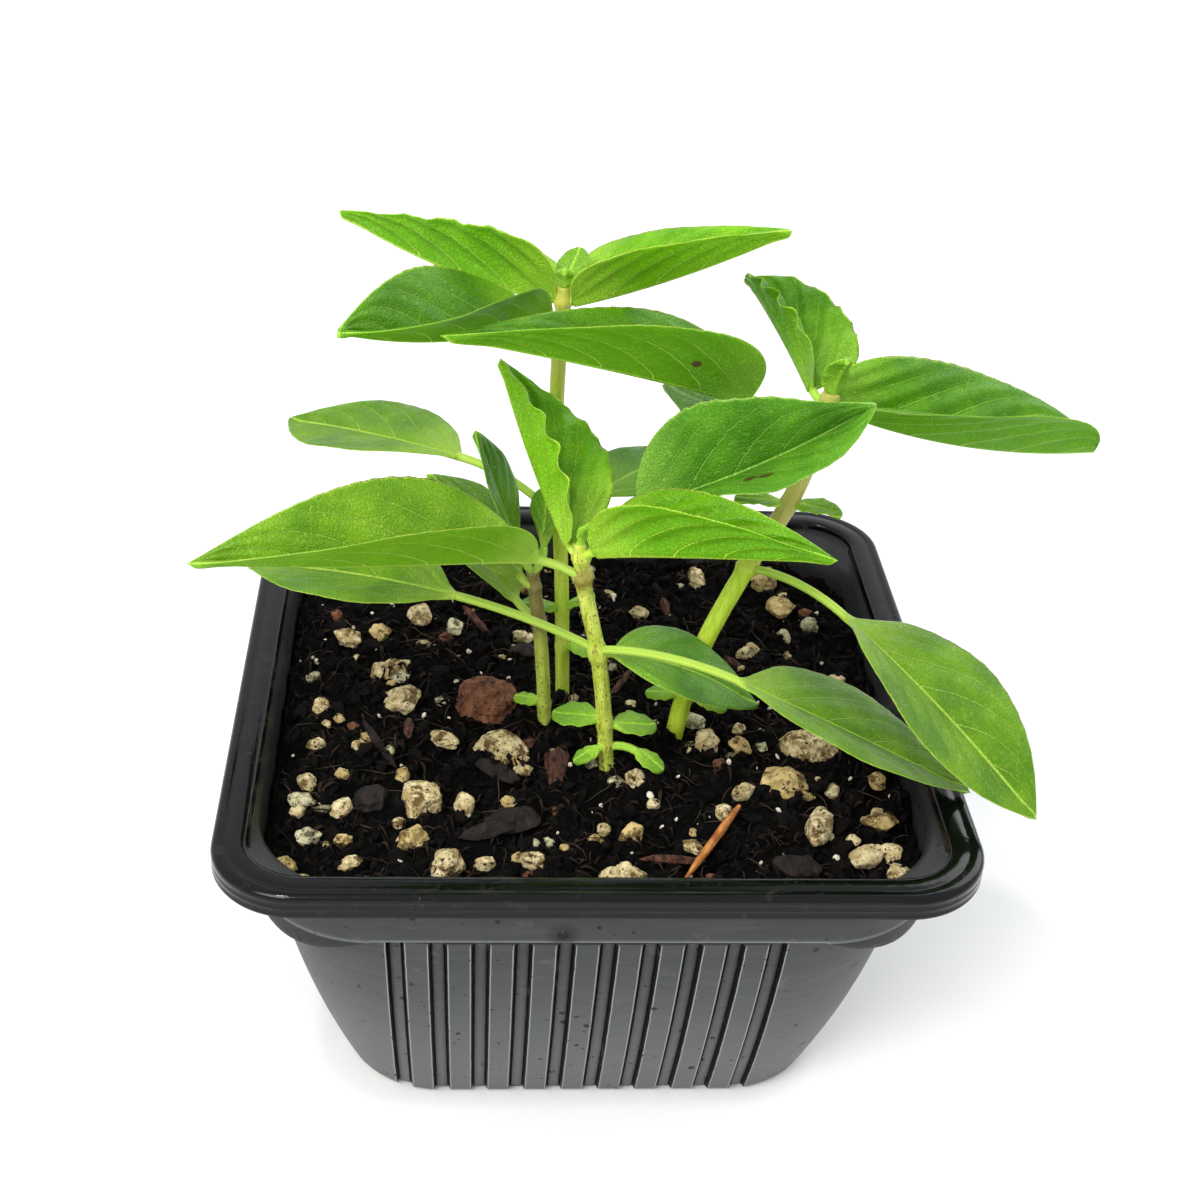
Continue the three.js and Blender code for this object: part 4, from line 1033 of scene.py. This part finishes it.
def curve_through(points, count):
    """A smooth curve through points. On each stretch it is the cubic that leaves and arrives with
    the slope between the neighbouring points: at share u of a stretch, (2u^3 - 3u^2 + 1) first +
    (u^3 - 2u^2 + u) span slope + (3u^2 - 2u^3) last + (u^3 - u^2) span next slope."""
    points = np.asarray(points, float)
    knots = np.concatenate([[0], np.cumsum(np.linalg.norm(np.diff(points, axis=0), axis=1))])
    slopes = np.gradient(points, knots, axis=0)
    s = np.linspace(0, knots[-1], count)
    k = np.clip(np.searchsorted(knots, s, "right") - 1, 0, len(knots) - 2)
    span = (knots[k + 1] - knots[k])[:, None]
    u = (s[:, None] - knots[k][:, None]) / span
    h = (2 * u**3 - 3 * u**2 + 1, u**3 - 2 * u**2 + u, 3 * u**2 - 2 * u**3, u**3 - u**2)
    return h[0] * points[k] + h[1] * span * slopes[k] + h[2] * points[k + 1] + h[3] * span * slopes[k + 1]


def tube(line, radius, sides, lobes=0.0):
    """A closed tube: rings of a radius about each point of a line, set square to it. At an angle a
    round the ring the radius is swelled by 1 + lobes cos(4a), so it has four soft edges."""
    ahead = np.gradient(line, axis=0)
    ahead = ahead / np.linalg.norm(ahead, axis=1, keepdims=True)
    across = np.cross(ahead, [0.0, 1.0, 0.05])
    across = across / np.linalg.norm(across, axis=1, keepdims=True)
    other = np.cross(across, ahead)
    angle = np.linspace(0, 2 * np.pi, sides, endpoint=False)
    reach = radius[:, None] * (1 + lobes * np.cos(4 * angle))
    around = np.cos(angle)[:, None] * across[:, None] + np.sin(angle)[:, None] * other[:, None]
    return closed_skin(line[:, None] + reach[..., None] * around)


print({name: round(float(np.array(line)[-1, 2])) for name, (_, line) in STEMS.items()}, "mm high")

# %% [markdown]
# ## Leaf records
# A young leaf stands nearly upright and is folded along its midrib, and an old one lies flat and
# droops. So one rule can make them all: what differs is written down leaf by leaf.

# %% Leaf records
# Angles are in degrees, lengths in millimetres. turn is the compass direction (0 is +X, 90 is +Y),
# rise the slope, droop how far it falls by the tip, bend the power with which it does, sway how
# far it turns sideways, roll how far the right half is lifted, twist how that grows, and fold the
# lift of both halves. petiole holds length, rise and turn. widest is the share of the length where
# a blade is widest, tip is under 1 for a blunt end, and wedge narrows the foot of the blade. wave
# is the height of the margin's waves and ripples their number, and teeth is the size of its teeth
# as a share of the half width. spots are brown patches: share of the length, share of the half
# width, and two radii. tone names the green.
PLAIN = {
    "bend": 1, "droop": 15, "sway": 0, "roll": 0, "twist": 0, "fold": 12, "widest": 0.42, "tip": 1,
    "wave": 0.1, "ripples": 3, "wedge": 0, "teeth": 0.02, "tone": "mid", "spots": (),
}


def leaf(name, stem, height, petiole, turn, rise, length, width, **rest):
    """One leaf's record: PLAIN, with its own values in place of the plain ones."""
    return {**PLAIN, "name": name, "stem": stem, "height": height, "petiole": petiole, "turn": turn,
            "rise": rise, "length": length, "width": width, **rest}


LEAVES = (
    leaf("a_low_left", "a", 65, (20.7, 28, 174), 162, 5, 33.3, 18.5, droop=21, sway=-9, roll=1, fold=14,
         widest=0.45, tip=1.05, wedge=0.4),
    leaf("a_low_right", "a", 65, (20.8, 25, -37), -10, -21, 36.5, 21.3, droop=3, sway=-2, roll=10,
         twist=-5, fold=15, tip=1.07, wedge=0.4),
    leaf("a_axil", "a", 63.8, (2.2, 40, 5), 9, -11, 24.7, 14.5, droop=31, sway=-5, roll=-12, twist=3,
         fold=11, widest=0.44, tip=0.97, tone="deep"),
    leaf("a_up_left", "a", 76.5, (8.8, 39, 186), 216, 23, 46.9, 22.1, droop=20, bend=0.45, sway=-33,
         roll=-8, twist=23, fold=56, widest=0.4, tip=1.07, tone="fresh"),
    leaf("a_up_right", "a", 77, (12.6, 61, 71), 8, 15, 35.1, 23.6, droop=-21, sway=-6, roll=-16,
         twist=-49, fold=57, widest=0.39, tip=0.88, wave=0.25, teeth=0.04, tone="cool",
         spots=((0.44, 0.52, 1.2, 0.6), (0.5, 0.56, 1.3, 0.7))),
    leaf("a_young_right", "a", 79.5, (3.1, 64, -48), -35, 23, 33.6, 17, droop=17, bend=0.6, sway=21,
         roll=14, twist=-17, fold=68, widest=0.32, tip=0.98, tone="young"),
    leaf("a_young_up", "a", 80, (2, 0, 142), 128, 45, 27.1, 19.6, droop=-10, sway=-7, roll=-20,
         twist=-21, fold=54, widest=0.36, tip=1.06, wave=0.7, ripples=5.5, teeth=0.08, tone="lime"),
    leaf("b_low_left", "b", 62.5, (4.5, 26, 152), 139, 36, 21.5, 12, droop=27, sway=-1, roll=-12,
         fold=20),
    leaf("b_left", "b", 68.5, (3, 28, 189), 163, 57, 19.5, 13.5, droop=26, roll=5, fold=10),
    leaf("b_up", "b", 71, (4.5, 45, 167), 171, 71, 18.5, 12.5, droop=2, sway=-6, roll=-1, fold=15,
         tone="deep"),
    leaf("b_small", "b", 71, (3.5, 32, 22), 80, 75, 9.5, 7, droop=-2, sway=2, roll=51, fold=13,
         widest=0.6, tone="deep"),
    leaf("c_left_up", "c", 109, (1, 38, 160), 162, 3, 32.8, 17.9, droop=-17, sway=-9, roll=-29, twist=1,
         fold=50, widest=0.26, tip=0.89, wave=0.4, ripples=5, teeth=0.06, tone="young"),
    leaf("c_right_up", "c", 108.5, (1.2, 42, -2), -1, 12, 31.1, 18.3, droop=-9, bend=0.5, sway=13,
         roll=15, twist=-2, fold=44, widest=0.29, tip=0.86, tone="lime"),
    leaf("c_dark_left", "c", 104.5, (3.6, 85, 191), 223, 2, 37.4, 20.2, droop=-22, sway=2, roll=-18,
         twist=42, fold=52, widest=0.41, tip=0.79, tone="rich"),
    leaf("c_low_left", "c", 75, (17.3, 46, 162), 151, 1, 31.7, 20.9, droop=14, sway=-8, roll=-15,
         twist=23, widest=0.44, tip=0.95, wedge=0.3),
    leaf("c_low_right", "c", 75, (7, 34, 26), 43, 9, 23.5, 14, droop=23, sway=2, fold=5, tone="deep"),
    leaf("d_front_left", "d", 90.5, (12.1, 22, 148), 209, 27, 50.2, 19.9, droop=9, bend=0.5, sway=-5,
         roll=-11, twist=7, fold=60, widest=0.26, tip=1.08, tone="rich", spots=((0.25, -0.38, 1.1, 0.6),)),
    leaf("d_pale_left", "d", 87.5, (3.5, 33, 166), 156, 19, 20, 13, droop=11, sway=-2, roll=4, fold=1,
         tone="pale"),
    leaf("d_low_right", "d", 71, (16.9, 17, -42), -42, -22, 38.2, 22.8, droop=14, sway=1, roll=22,
         twist=-39, fold=18, tip=1.01, wedge=0.45),
    leaf("d_up_right", "d", 96, (-1.4, 44, 8), 0, -23, 43, 23.2, droop=-23, sway=9, roll=-16, twist=34,
         fold=50, widest=0.5, tip=0.45, tone="rich"),
    leaf("d_up", "d", 95, (3.3, 13, 140), 111, 27, 22.9, 18.2, droop=14, sway=-1, roll=-27, twist=19,
         fold=56, widest=0.31, tip=0.64, wave=0.8, ripples=5, teeth=0.08, tone="rich"),
)

# Seed leaves and buds, by the same rule: stem, height, petiole, turn, rise, length, width, fold, tip.
SPROUTS = (
    ("a", 48.5, (1.5, 20, 200), 205, -10, 4.5, 3, 8, 0.6),
    ("a", 48.5, (4, 15, 0), -35, -12, 5, 3.6, 8, 0.6), ("a", 53, (1, 10, 160), 165, 4, 7, 6.2, 8, 0.6),
    ("a", 52, (1, 10, 20), 10, 0, 6.5, 6, 8, 0.6), ("a", 81.8, (0.5, 85, -50), -50, 74, 4, 2.6, 20, 1),
    ("b", 48, (1, 20, 170), 170, 10, 4, 3, 8, 0.6), ("c", 60, (1, 30, 200), 200, 25, 6, 4, 8, 0.6),
    ("c", 60, (1, 40, -20), -20, 45, 5, 3.4, 8, 0.6), ("c", 53.5, (1, 15, -10), -15, 0, 5, 4, 8, 0.6),
    ("c", 110.5, (0.5, 75, 60), 60, 50, 6, 4.5, 10, 0.6),
    ("c", 110.5, (0.5, 85, -95), -95, 72, 3.6, 2.6, 20, 1),
    ("d", 51, (1, 10, 170), 175, 5, 4.5, 3.6, 8, 0.6), ("d", 51, (2, 10, -15), -20, -5, 5, 3.6, 8, 0.6),
    ("d", 80.5, (1, 20, 185), 185, 15, 7, 4.5, 20, 0.6),
    ("d", 80.5, (1, 20, -20), -15, 4, 7, 4.6, 20, 0.6),
    ("d", 96.3, (0.5, 85, -70), -70, 76, 7, 4.4, 26, 0.6),
)
print(len(LEAVES), "leaves and", len(SPROUTS), "sprouts")

# %% [markdown]
# ## Leaves
# A leaf is one thin closed skin from its stalk to its tip. Its midrib is walked in short steps
# whose heading changes evenly, and a cross-section stands on each step: folded at the midrib,
# cupped, waved at the margin, puffed up between the side veins, sunk along them, and swollen below
# as a keel. The stalk is the same section drawn together until it is round.

# %% Leaf sections
STALK_HALF, BLADE_TIP, BLADE_THICK = 0.6, 0.05, 0.36
KEEL, VEIN_KEEL, GROOVE = 0.45, 0.1, 0.16  # the midrib and the side veins below, the midrib above
CUP = 0.08
TOOTH_STEP = 2.6
HALF_COLUMNS = 22


def headings(turn, rise):
    """Unit steps in the compass direction turn, at the slope rise."""
    turn, rise = np.radians(turn), np.radians(rise)
    return np.stack([np.cos(rise) * np.cos(turn), np.cos(rise) * np.sin(turn), np.sin(rise)], -1)


def walk(start, length, turn_at, rise_at, steps):
    """The points reached from start by even steps, each along the heading at its middle."""
    middle = (np.arange(steps) + 0.5) / steps
    strides = headings(turn_at(middle), rise_at(middle)) * length / steps
    return np.concatenate([[start], start + np.cumsum(strides, 0)])


def leaf_shape(one, finish=0, fine=1.0, pucker=0.3):
    """A leaf's skin. Half its width is W/2 (t/m)^(bm/(1-m)) ((1-t)/(1-m))^b at share t of its
    length, with m the widest place and b the tip's power, less the share wedge at the stalk, which
    fades out by t = 0.17. Each half is a strip lifted from the midrib by the fold. At share v of
    the half width w it stands over its own chord by
    -0.08 w v^2 + wave |v|^3 sin(pi t) sin(2 pi (ripples t + v/4)), and between the side veins it is
    puffed up by pucker sin(pi q)^2. The side veins lie where q = N(t - 0.3|v| - 0.2v^2) is whole,
    and q is 0.18 more on the right half, so that they don't quite face each other. Its maps are q
    and v, and the way along and across in millimetres. Its zones say what is underside, stalk and
    brown."""
    base = on_stem(one["stem"], one["height"])
    stalk, stalk_rise, stalk_turn = one["petiole"]
    length, width = one["length"], one["width"]

    def stalk_turn_at(s):
        """Goes evenly from the stalk's turn to the blade's."""
        return stalk_turn + (one["turn"] - stalk_turn) * s

    def stalk_rise_at(s):
        """Goes evenly from the stalk's rise to the blade's."""
        return stalk_rise + (one["rise"] - stalk_rise) * s

    def turn_at(t):
        """turn + sway t."""
        return one["turn"] + one["sway"] * t

    def rise_at(t):
        """rise - droop t^bend."""
        return one["rise"] - one["droop"] * t ** one["bend"]

    # The midrib, and at each step of it the directions right and up of the section there.
    stalk_steps = max(4, int(stalk * 1.2))
    blade_steps = max(12, int(length * 2.8 * fine))
    stalk_line = walk(base, stalk, stalk_turn_at, stalk_rise_at, stalk_steps)
    midrib = walk(stalk_line[-1], length, turn_at, rise_at, blade_steps)
    s, t = np.arange(stalk_steps) / stalk_steps, np.arange(blade_steps + 1) / blade_steps
    centre = np.concatenate([stalk_line[:-1], midrib])
    turn = np.radians(np.concatenate([stalk_turn_at(s), turn_at(t)]))
    rise = np.concatenate([stalk_rise_at(s), rise_at(t)])
    roll = np.radians(np.concatenate([one["roll"] * s, one["roll"] + one["twist"] * t]))[:, None]
    t = np.concatenate([np.zeros(stalk_steps), t])
    on_stalk = np.concatenate([np.ones(stalk_steps), np.zeros(blade_steps + 1)])
    ahead = headings(np.degrees(turn), rise)
    side = np.stack([np.sin(turn), -np.cos(turn), np.zeros_like(turn)], -1)
    above = np.cross(side, ahead)
    right = side * np.cos(roll) + above * np.sin(roll)
    normal = above * np.cos(roll) - side * np.sin(roll)

    # The outline: half the width at each step, with teeth, and never narrower than the stalk.
    peak, blunt = one["widest"], one["tip"]
    outline = (t / peak) ** (blunt * peak / (1 - peak)) * ((1 - t) / (1 - peak)) ** blunt
    outline = outline * (1 - one["wedge"] * (1 - smooth(t, 0, 0.17)))
    saw = np.abs(((t * length / TOOTH_STEP) % 1) - 0.35) - 0.3
    teeth = one["teeth"] * saw * smooth(t, 0.12, 0.3) * fine
    least = STALK_HALF + (BLADE_TIP - STALK_HALF) * np.minimum(1, 3 * t)
    wide = np.maximum(least, width / 2 * outline * (1 + teeth))[:, None]

    # The section: v runs from edge to edge, out is |v|, x is the way across in millimetres.
    share = np.linspace(-1, 1, 2 * HALF_COLUMNS + 1)
    v = (np.sign(share) * np.abs(share) ** 1.25)[None, :]
    out = np.abs(v)
    t = t[:, None]
    x = v * wide
    blade = smooth(wide, 0.7, 3.0)
    fold = math.radians(one["fold"]) * np.where(t > 0.5, 1, np.clip((wide - 0.6) / 2.4, 0, 1))
    veins = 3.6 + length / 22
    q = veins * (t - 0.3 * out - 0.2 * out**2) + np.where(v > 0, 0.18, 0.0)
    over = one["wave"] * out**3 * np.sin(np.pi * t) * np.sin((one["ripples"] * t + v / 4) * 2 * np.pi)
    over = over - CUP * v * v * wide
    inner = smooth(out, 0.02, 0.3) * (1 - smooth(out, 0.75, 1))
    puff = np.sin(np.pi * q) ** 2 * inner * smooth(t, 0.02, 0.2)
    over = over + pucker * blade * (puff - 0.5) * (1 - 0.5 * t)

    # Its thickness: round on the stalk, thin on the blade, with grooves above and keels below.
    round_edge = np.sqrt(np.maximum(0, 1 - out**2)) * np.minimum(1, wide / STALK_HALF)
    thin = BLADE_THICK / 2 * np.sqrt(np.maximum(0, 1 - out**6))
    groove = GROOVE * blade * np.exp(-((x / 0.35) ** 2))
    top = round_edge * 0.5 * (1 - blade) + thin * blade - groove
    keel = KEEL * (1 - t) * np.exp(-((x / 0.42) ** 2)) * blade
    on_vein = np.exp(-(((q - np.round(q)) / 0.045) ** 2))
    vein_keel = VEIN_KEEL * blade * on_vein * smooth(out, 0.0, 0.1) * (1 - out)
    bottom = -(round_edge * 0.72 * (1 - blade) + thin * blade) - keel - vein_keel

    def sheet(height):
        """Points of one face: v w cos(fold) to the side less what its height leans in, and
        |v| w sin(fold) up. The lean goes from one half's to the other's across the midrib."""
        lean = np.clip(x / 0.5, -1, 1) * np.sin(fold)
        across = x * np.cos(fold) - (over + height) * lean
        lift = out * wide * np.sin(fold) + (over + height) * np.sqrt(1 - lean**2)
        return centre[:, None] + right[:, None] * across[..., None] + normal[:, None] * lift[..., None]

    def round_both(top, below):
        """Rings of the upper face's columns, then the lower face's on the way back."""
        return np.concatenate([top, below[:, -2:0:-1]], 1)

    full = np.ones_like(x)
    maps = np.stack([q, v * full, t * length * full, x], -1)
    stalky = np.clip(on_stalk[:, None] + (1 - smooth(wide, 0.7, 2.4)) * (t < 0.5), 0, 1)
    brown = np.zeros_like(x)
    for a, b, c, d in one["spots"]:
        spot = np.exp(-(((t - a) * length / c) ** 2) - ((v - b) * wide / d) ** 2)
        brown = np.maximum(brown, spot)
    upper_zones = np.stack([np.zeros_like(x), stalky * full, brown], -1)
    lower_zones = np.stack([full, stalky * full, brown], -1)
    rings = round_both(sheet(top), sheet(bottom))
    return closed_skin(rings, finish, round_both(maps, maps), round_both(upper_zones, lower_zones))


print(4 * HALF_COLUMNS, "columns round a leaf's section")

# %% [markdown]
# ### Leaf green
# The top of a leaf is a bright waxy green. Its midrib and side veins are paler and sunk, the
# valleys along the side veins are darkened as painted shade, its margin is a thin pale line, and a
# faint net of fine veins breaks it into tiny cushions. The underside is yellower, and its veins
# stand up. Light also passes through, which is a little subsurface scattering. Vein colours read
# the leaf's own maps, so they follow each blade however it bends.


# %% Leaf finish
def leaf_finish(name, deep, bright, vein, under, gloss=0.36):
    """Green between deep and bright, lined with the colour vein, darkened along the side veins as
    painted shade, and under on the underside. gloss is the middle of its roughness."""
    f = Finish(name, Subsurface_Weight=0.15, Subsurface_Scale=0.0012, Specular_IOR_Level=0.2)
    f.shader.inputs["Subsurface Radius"].default_value = (0.5, 1.0, 0.05)
    q, v = f.flat_map("veins")[:2]
    along, across = f.flat_map("blade")[:2]
    below, stalk, brown = f.zones()
    out = f.math("ABSOLUTE", v)
    wander = f.times(f.less(f.noise(3, 2), 0.5), 0.1)
    off_vein = f.math("PINGPONG", f.math("ADD", q, wander), 0.5)
    reach = f.fade(out, 0.55, 0.97, 1, 0.1)
    line = f.times(f.fade(off_vein, 0.008, 0.03, 1, 0), reach)
    # Painted shade in the sunk valleys along the side veins.
    vein_valley_shade = f.times(f.fade(off_vein, 0.02, 0.11, 1, 0), reach)
    midrib = f.fade(f.math("ABSOLUTE", across), 0.12, 0.34, 1, 0)
    margin = f.fade(out, 0.965, 0.988)
    flat = f.node("ShaderNodeCombineXYZ", {0: along, 1: across}).outputs[0]
    flat = f.node("ShaderNodeVectorMath", {0: flat, "Scale": MM}, operation="SCALE").outputs[0]
    net = f.fade(f.cells(0.6, "DISTANCE_TO_EDGE", flat), 0.02, 0.12, 1, 0)
    branch = f.fade(f.cells(2.6, "DISTANCE_TO_EDGE", flat), 0.01, 0.05, 1, 0)
    cloud = f.fade(f.noise(7, 3, 0.5), 0.3, 0.7)
    stipple = f.fade(f.noise(0.3, 3, 0.6), 0.35, 0.65)
    base = f.mix(cloud, colour(deep), colour(bright))
    for share, tint in (
        (f.times(vein_valley_shade, 0.35), deep),
        (f.times(net, 0.12), vein),
        (f.times(stipple, 0.3), deep),
        (f.times(below, 0.7), under),
        (f.times(branch, 0.05), vein),
        (f.fade(along, 1, 11, 0.4, 0), vein),
        (f.times(line, f.fade(below, 0, 1, 0.55, 0.8)), vein),
        (f.times(f.math("MAXIMUM", midrib, margin), 0.75), vein),
        (f.times(stalk, 0.85), vein),
    ):
        base = f.mix(share, base, colour(tint))
    ragged = f.fade(f.math("ADD", brown, f.times(f.noise(1.2, 3), 0.5)), 0.55, 0.85)
    f.set("Base Color", f.mix(f.times(ragged, f.fade(brown, 0.02, 0.2)), base, colour("4f3a1c")))
    shine = f.fade(f.noise(5, 3), 0.35, 0.65, gloss - 0.08, gloss + 0.14)
    f.set("Roughness", f.math("ADD", shine, f.times(below, 0.12)))
    cushions = f.bump(f.less(1, net), 0.09)
    fine = f.bump(f.noise(0.3, 3), 0.06, below=cushions)
    f.set("Normal", f.bump(f.less(1, line), 0.1, below=fine))
    return f


leaf_tones = {
    "mid": leaf_finish("leaf_green", "487606", "6a960a", "b0d052", "629806"),
    "fresh": leaf_finish("fresh_leaf_green", "58880e", "7eaa1e", "bcdc5e", "6aa408"),
    "cool": leaf_finish("cool_leaf_green", "427c14", "5f9c22", "a8d65c", "5a9c1c", 0.3),
    "deep": leaf_finish("deep_leaf_green", "3a7008", "56920f", "a3c84c", "64a016"),
    "rich": leaf_finish("rich_leaf_green", "3c7404", "589206", "aad848", "609c04"),
    "young": leaf_finish("young_leaf_green", "448004", "68a406", "bce048", "60a004"),
    "lime": leaf_finish("lime_leaf_green", "569608", "7ebe0c", "ccec58", "7cba0a"),
    "pale": leaf_finish("pale_leaf_green", "6f9c4a", "86b060", "b9cf90", "93b276"),
}
print(len(leaf_tones), "leaf greens")

# %% [markdown]
# ### Stem colours
# A seedling's stem is pale yellow-green and juicy, so it too gets a little subsurface scattering.
# Fine streaks run along it and freckles break them up. Above a level of its own each stem turns
# browner or more purple, the front one only in a narrow band where its upper leaves spring. One
# function makes all four, because only their colours and levels differ.


# %% Stem finish
def stem_finish(name, low, high, fleck, amount, top, level, reach, end=200):
    """A stem streaked low and high, freckled, that takes on the colour top above a level in
    millimetres, over the given reach, and loses it again at the level end."""
    f = Finish(name, Roughness=0.42, Subsurface_Weight=0.15, Subsurface_Scale=0.001, Specular_IOR_Level=0.4)
    streaks = f.fade(f.noise(0.9, 4, 0.6, f.stretched(1, 1, 0.18)), 0.3, 0.7)
    base = f.mix(streaks, colour(low), colour(high))
    uneven = f.math("ADD", f.parts(f.object)[2], f.times(f.less(f.noise(4, 2), 0.5), 0.006))
    browned = f.fade(uneven, (level - reach) * MM, (level + reach) * MM, 0, 0.75)
    browned = f.times(browned, f.fade(uneven, (end - 0.8) * MM, (end + 0.8) * MM, 1, 0))
    base = f.mix(browned, base, colour(top))
    flecks = f.fade(f.noise(0.35, 3, 0.6, f.stretched(1, 1, 0.5)), 1 - amount, 1.1 - amount)
    f.set("Base Color", f.mix(f.times(flecks, 0.8), base, colour(fleck)))
    f.set("Normal", f.bump(streaks, 0.08, below=f.bump(f.noise(0.2, 3), 0.04)))
    return f


stem_tones = {
    "a": stem_finish("freckled_stem", "a6ba30", "d6e264", "7a5a2c", 0.47, "7d6a30", 75.0, 1.2, 77.6),
    "b": stem_finish("purple_stem", "a4ba3a", "c4d45c", "6a4838", 0.44, "6a4a3a", 59.0, 4.0),
    "c": stem_finish("green_stem", "b0cc30", "d0e45c", "8d8a3c", 0.38, "b8ac50", 98.0, 8.0),
    "d": stem_finish("stout_stem", "aed224", "d0e84a", "8d8a3c", 0.38, "a8965a", 73.0, 3.0),
}
print(len(stem_tones), "stem colours")

# %% [markdown]
# ### Making the stems and the leaves
# A stem is one piece with its hairs, seed leaves and buds, which are small leaves by the same rule.
# Each large leaf is a piece of its own. The leaves of a growing tip are puffed up far more between
# their veins than the old ones, which have spread flat.

# %% Stems and sprouts
HAIRS, HAIR_HALF = 260, 0.022


def hairs(line, radius, count, seed):
    """Cones with three sides that stand on a stem, each leaning a little its own way."""
    chance = np.random.default_rng(seed)
    k = chance.integers(len(line) // 5, len(line) - 1, count)
    angle = chance.uniform(0, 2 * np.pi, count)
    out = np.column_stack([np.cos(angle), np.sin(angle), chance.uniform(-0.3, 0.4, count)])
    foot = line[k] + out * [1, 1, 0] * (radius[k, None] * 0.97)
    foot = foot + [0, 0, 1] * chance.uniform(-0.3, 0.3, (count, 1))
    side = np.column_stack([-np.sin(angle), np.cos(angle), np.zeros(count)]) * HAIR_HALF
    rise = np.tile([0, 0, HAIR_HALF], (count, 1))
    tip = foot + out * chance.uniform(0.25, 0.6, (count, 1))
    points = np.stack([foot + side, foot - side, foot + rise, tip], 1)
    faces = np.array([[0, 2, 3], [2, 1, 3], [1, 0, 3], [0, 1, 2]])
    return Shape(points, faces[None] + (np.arange(count) * 4)[:, None, None], finish=2)


def stem_shape(name):
    """The stem's tube, its hairs, and its sprouts. The tube swells by 0.14 of its width times
    exp(-((z - height) / 0.8)^2) at each pair of leaves, less at sprouts, and thins at its top."""
    width, points = STEMS[name]
    points = np.array(points, float)
    points[0, 2] = ROOT_LEVEL
    line = curve_through(points, STEM_ROWS)
    radius = np.full(len(line), width / 2)
    for height in {one["height"] for one in LEAVES if one["stem"] == name}:
        radius = radius + 0.14 * width * np.exp(-(((line[:, 2] - height) / 0.8) ** 2))
    for height in {one[1] for one in SPROUTS if one[0] == name}:
        radius = radius + 0.06 * width * np.exp(-(((line[:, 2] - height) / 0.7) ** 2))
    radius = radius * (1 - 0.25 * smooth(line[:, 2], line[-1, 2] - 6, line[-1, 2]))
    radius = radius * (1 + 0.03 * lattice_noise(line, 2.5, 5))
    shapes = [tube(line, radius, STEM_SIDES, lobes=0.05), hairs(line, radius, HAIRS, 40 + ord(name))]
    for stem, height, petiole, turn, rise, length, wide, fold, tip in SPROUTS:
        if stem == name:
            small = leaf("sprout", stem, height, petiole, turn, rise, length, wide,
                         droop=20, wave=0.15, widest=0.5, fold=fold, tip=tip)
            shapes.append(leaf_shape(small, 1, fine=1.5, pucker=0.08))
    return join(shapes)


hair_finish = strewn_finish("hair", "dfe8c8", "f2f6e4", 2.0, 0.5)
for name in STEMS:
    finishes = [stem_tones[name], leaf_tones["rich"], hair_finish]
    make_piece(f"stem_{name}_stalk", stem_shape(name), finishes, f"stem_{name}")

# %% Leaves
YOUNG = ("a_young_right", "a_young_up", "c_left_up", "c_right_up", "d_up_right", "d_up")
for one in LEAVES:
    young = one["name"] in YOUNG
    make_piece(
        f"leaf_{one['name']}_blade",
        leaf_shape(one, pucker=0.8 if young else 0.25),
        [leaf_tones[one["tone"]]],
        f"leaf_{one['name']}",
    )


# %% [markdown]
# ## The wood sliver
# One fresh splinter of wood lies on the soil. It is a thin tube with few sides whose edges stay
# sharp, a little uneven along its length.


# %% Wood sliver
SLIVER_START, SLIVER_RUN = np.array([20.2, -25.6, 46.0]), np.array([-8.9, -15.0, -0.4])
SLIVER_HALF, SLIVER_ROWS, SLIVER_SIDES = 0.62, 40, 9


def sliver_shape():
    """A thin splinter with nine sides that tapers to both ends as the root of a sine."""
    share = np.linspace(0, 1, SLIVER_ROWS)[:, None]
    line = SLIVER_START + share * SLIVER_RUN
    taper = SLIVER_HALF * np.sin(np.linspace(0.25, np.pi - 0.12, SLIVER_ROWS)) ** 0.5
    return tube(line, taper * (1 + 0.12 * lattice_noise(line, 1.2, 3)), SLIVER_SIDES)


make_piece("wood_sliver_body", sliver_shape(), [wood], "wood_sliver", sharp=40)
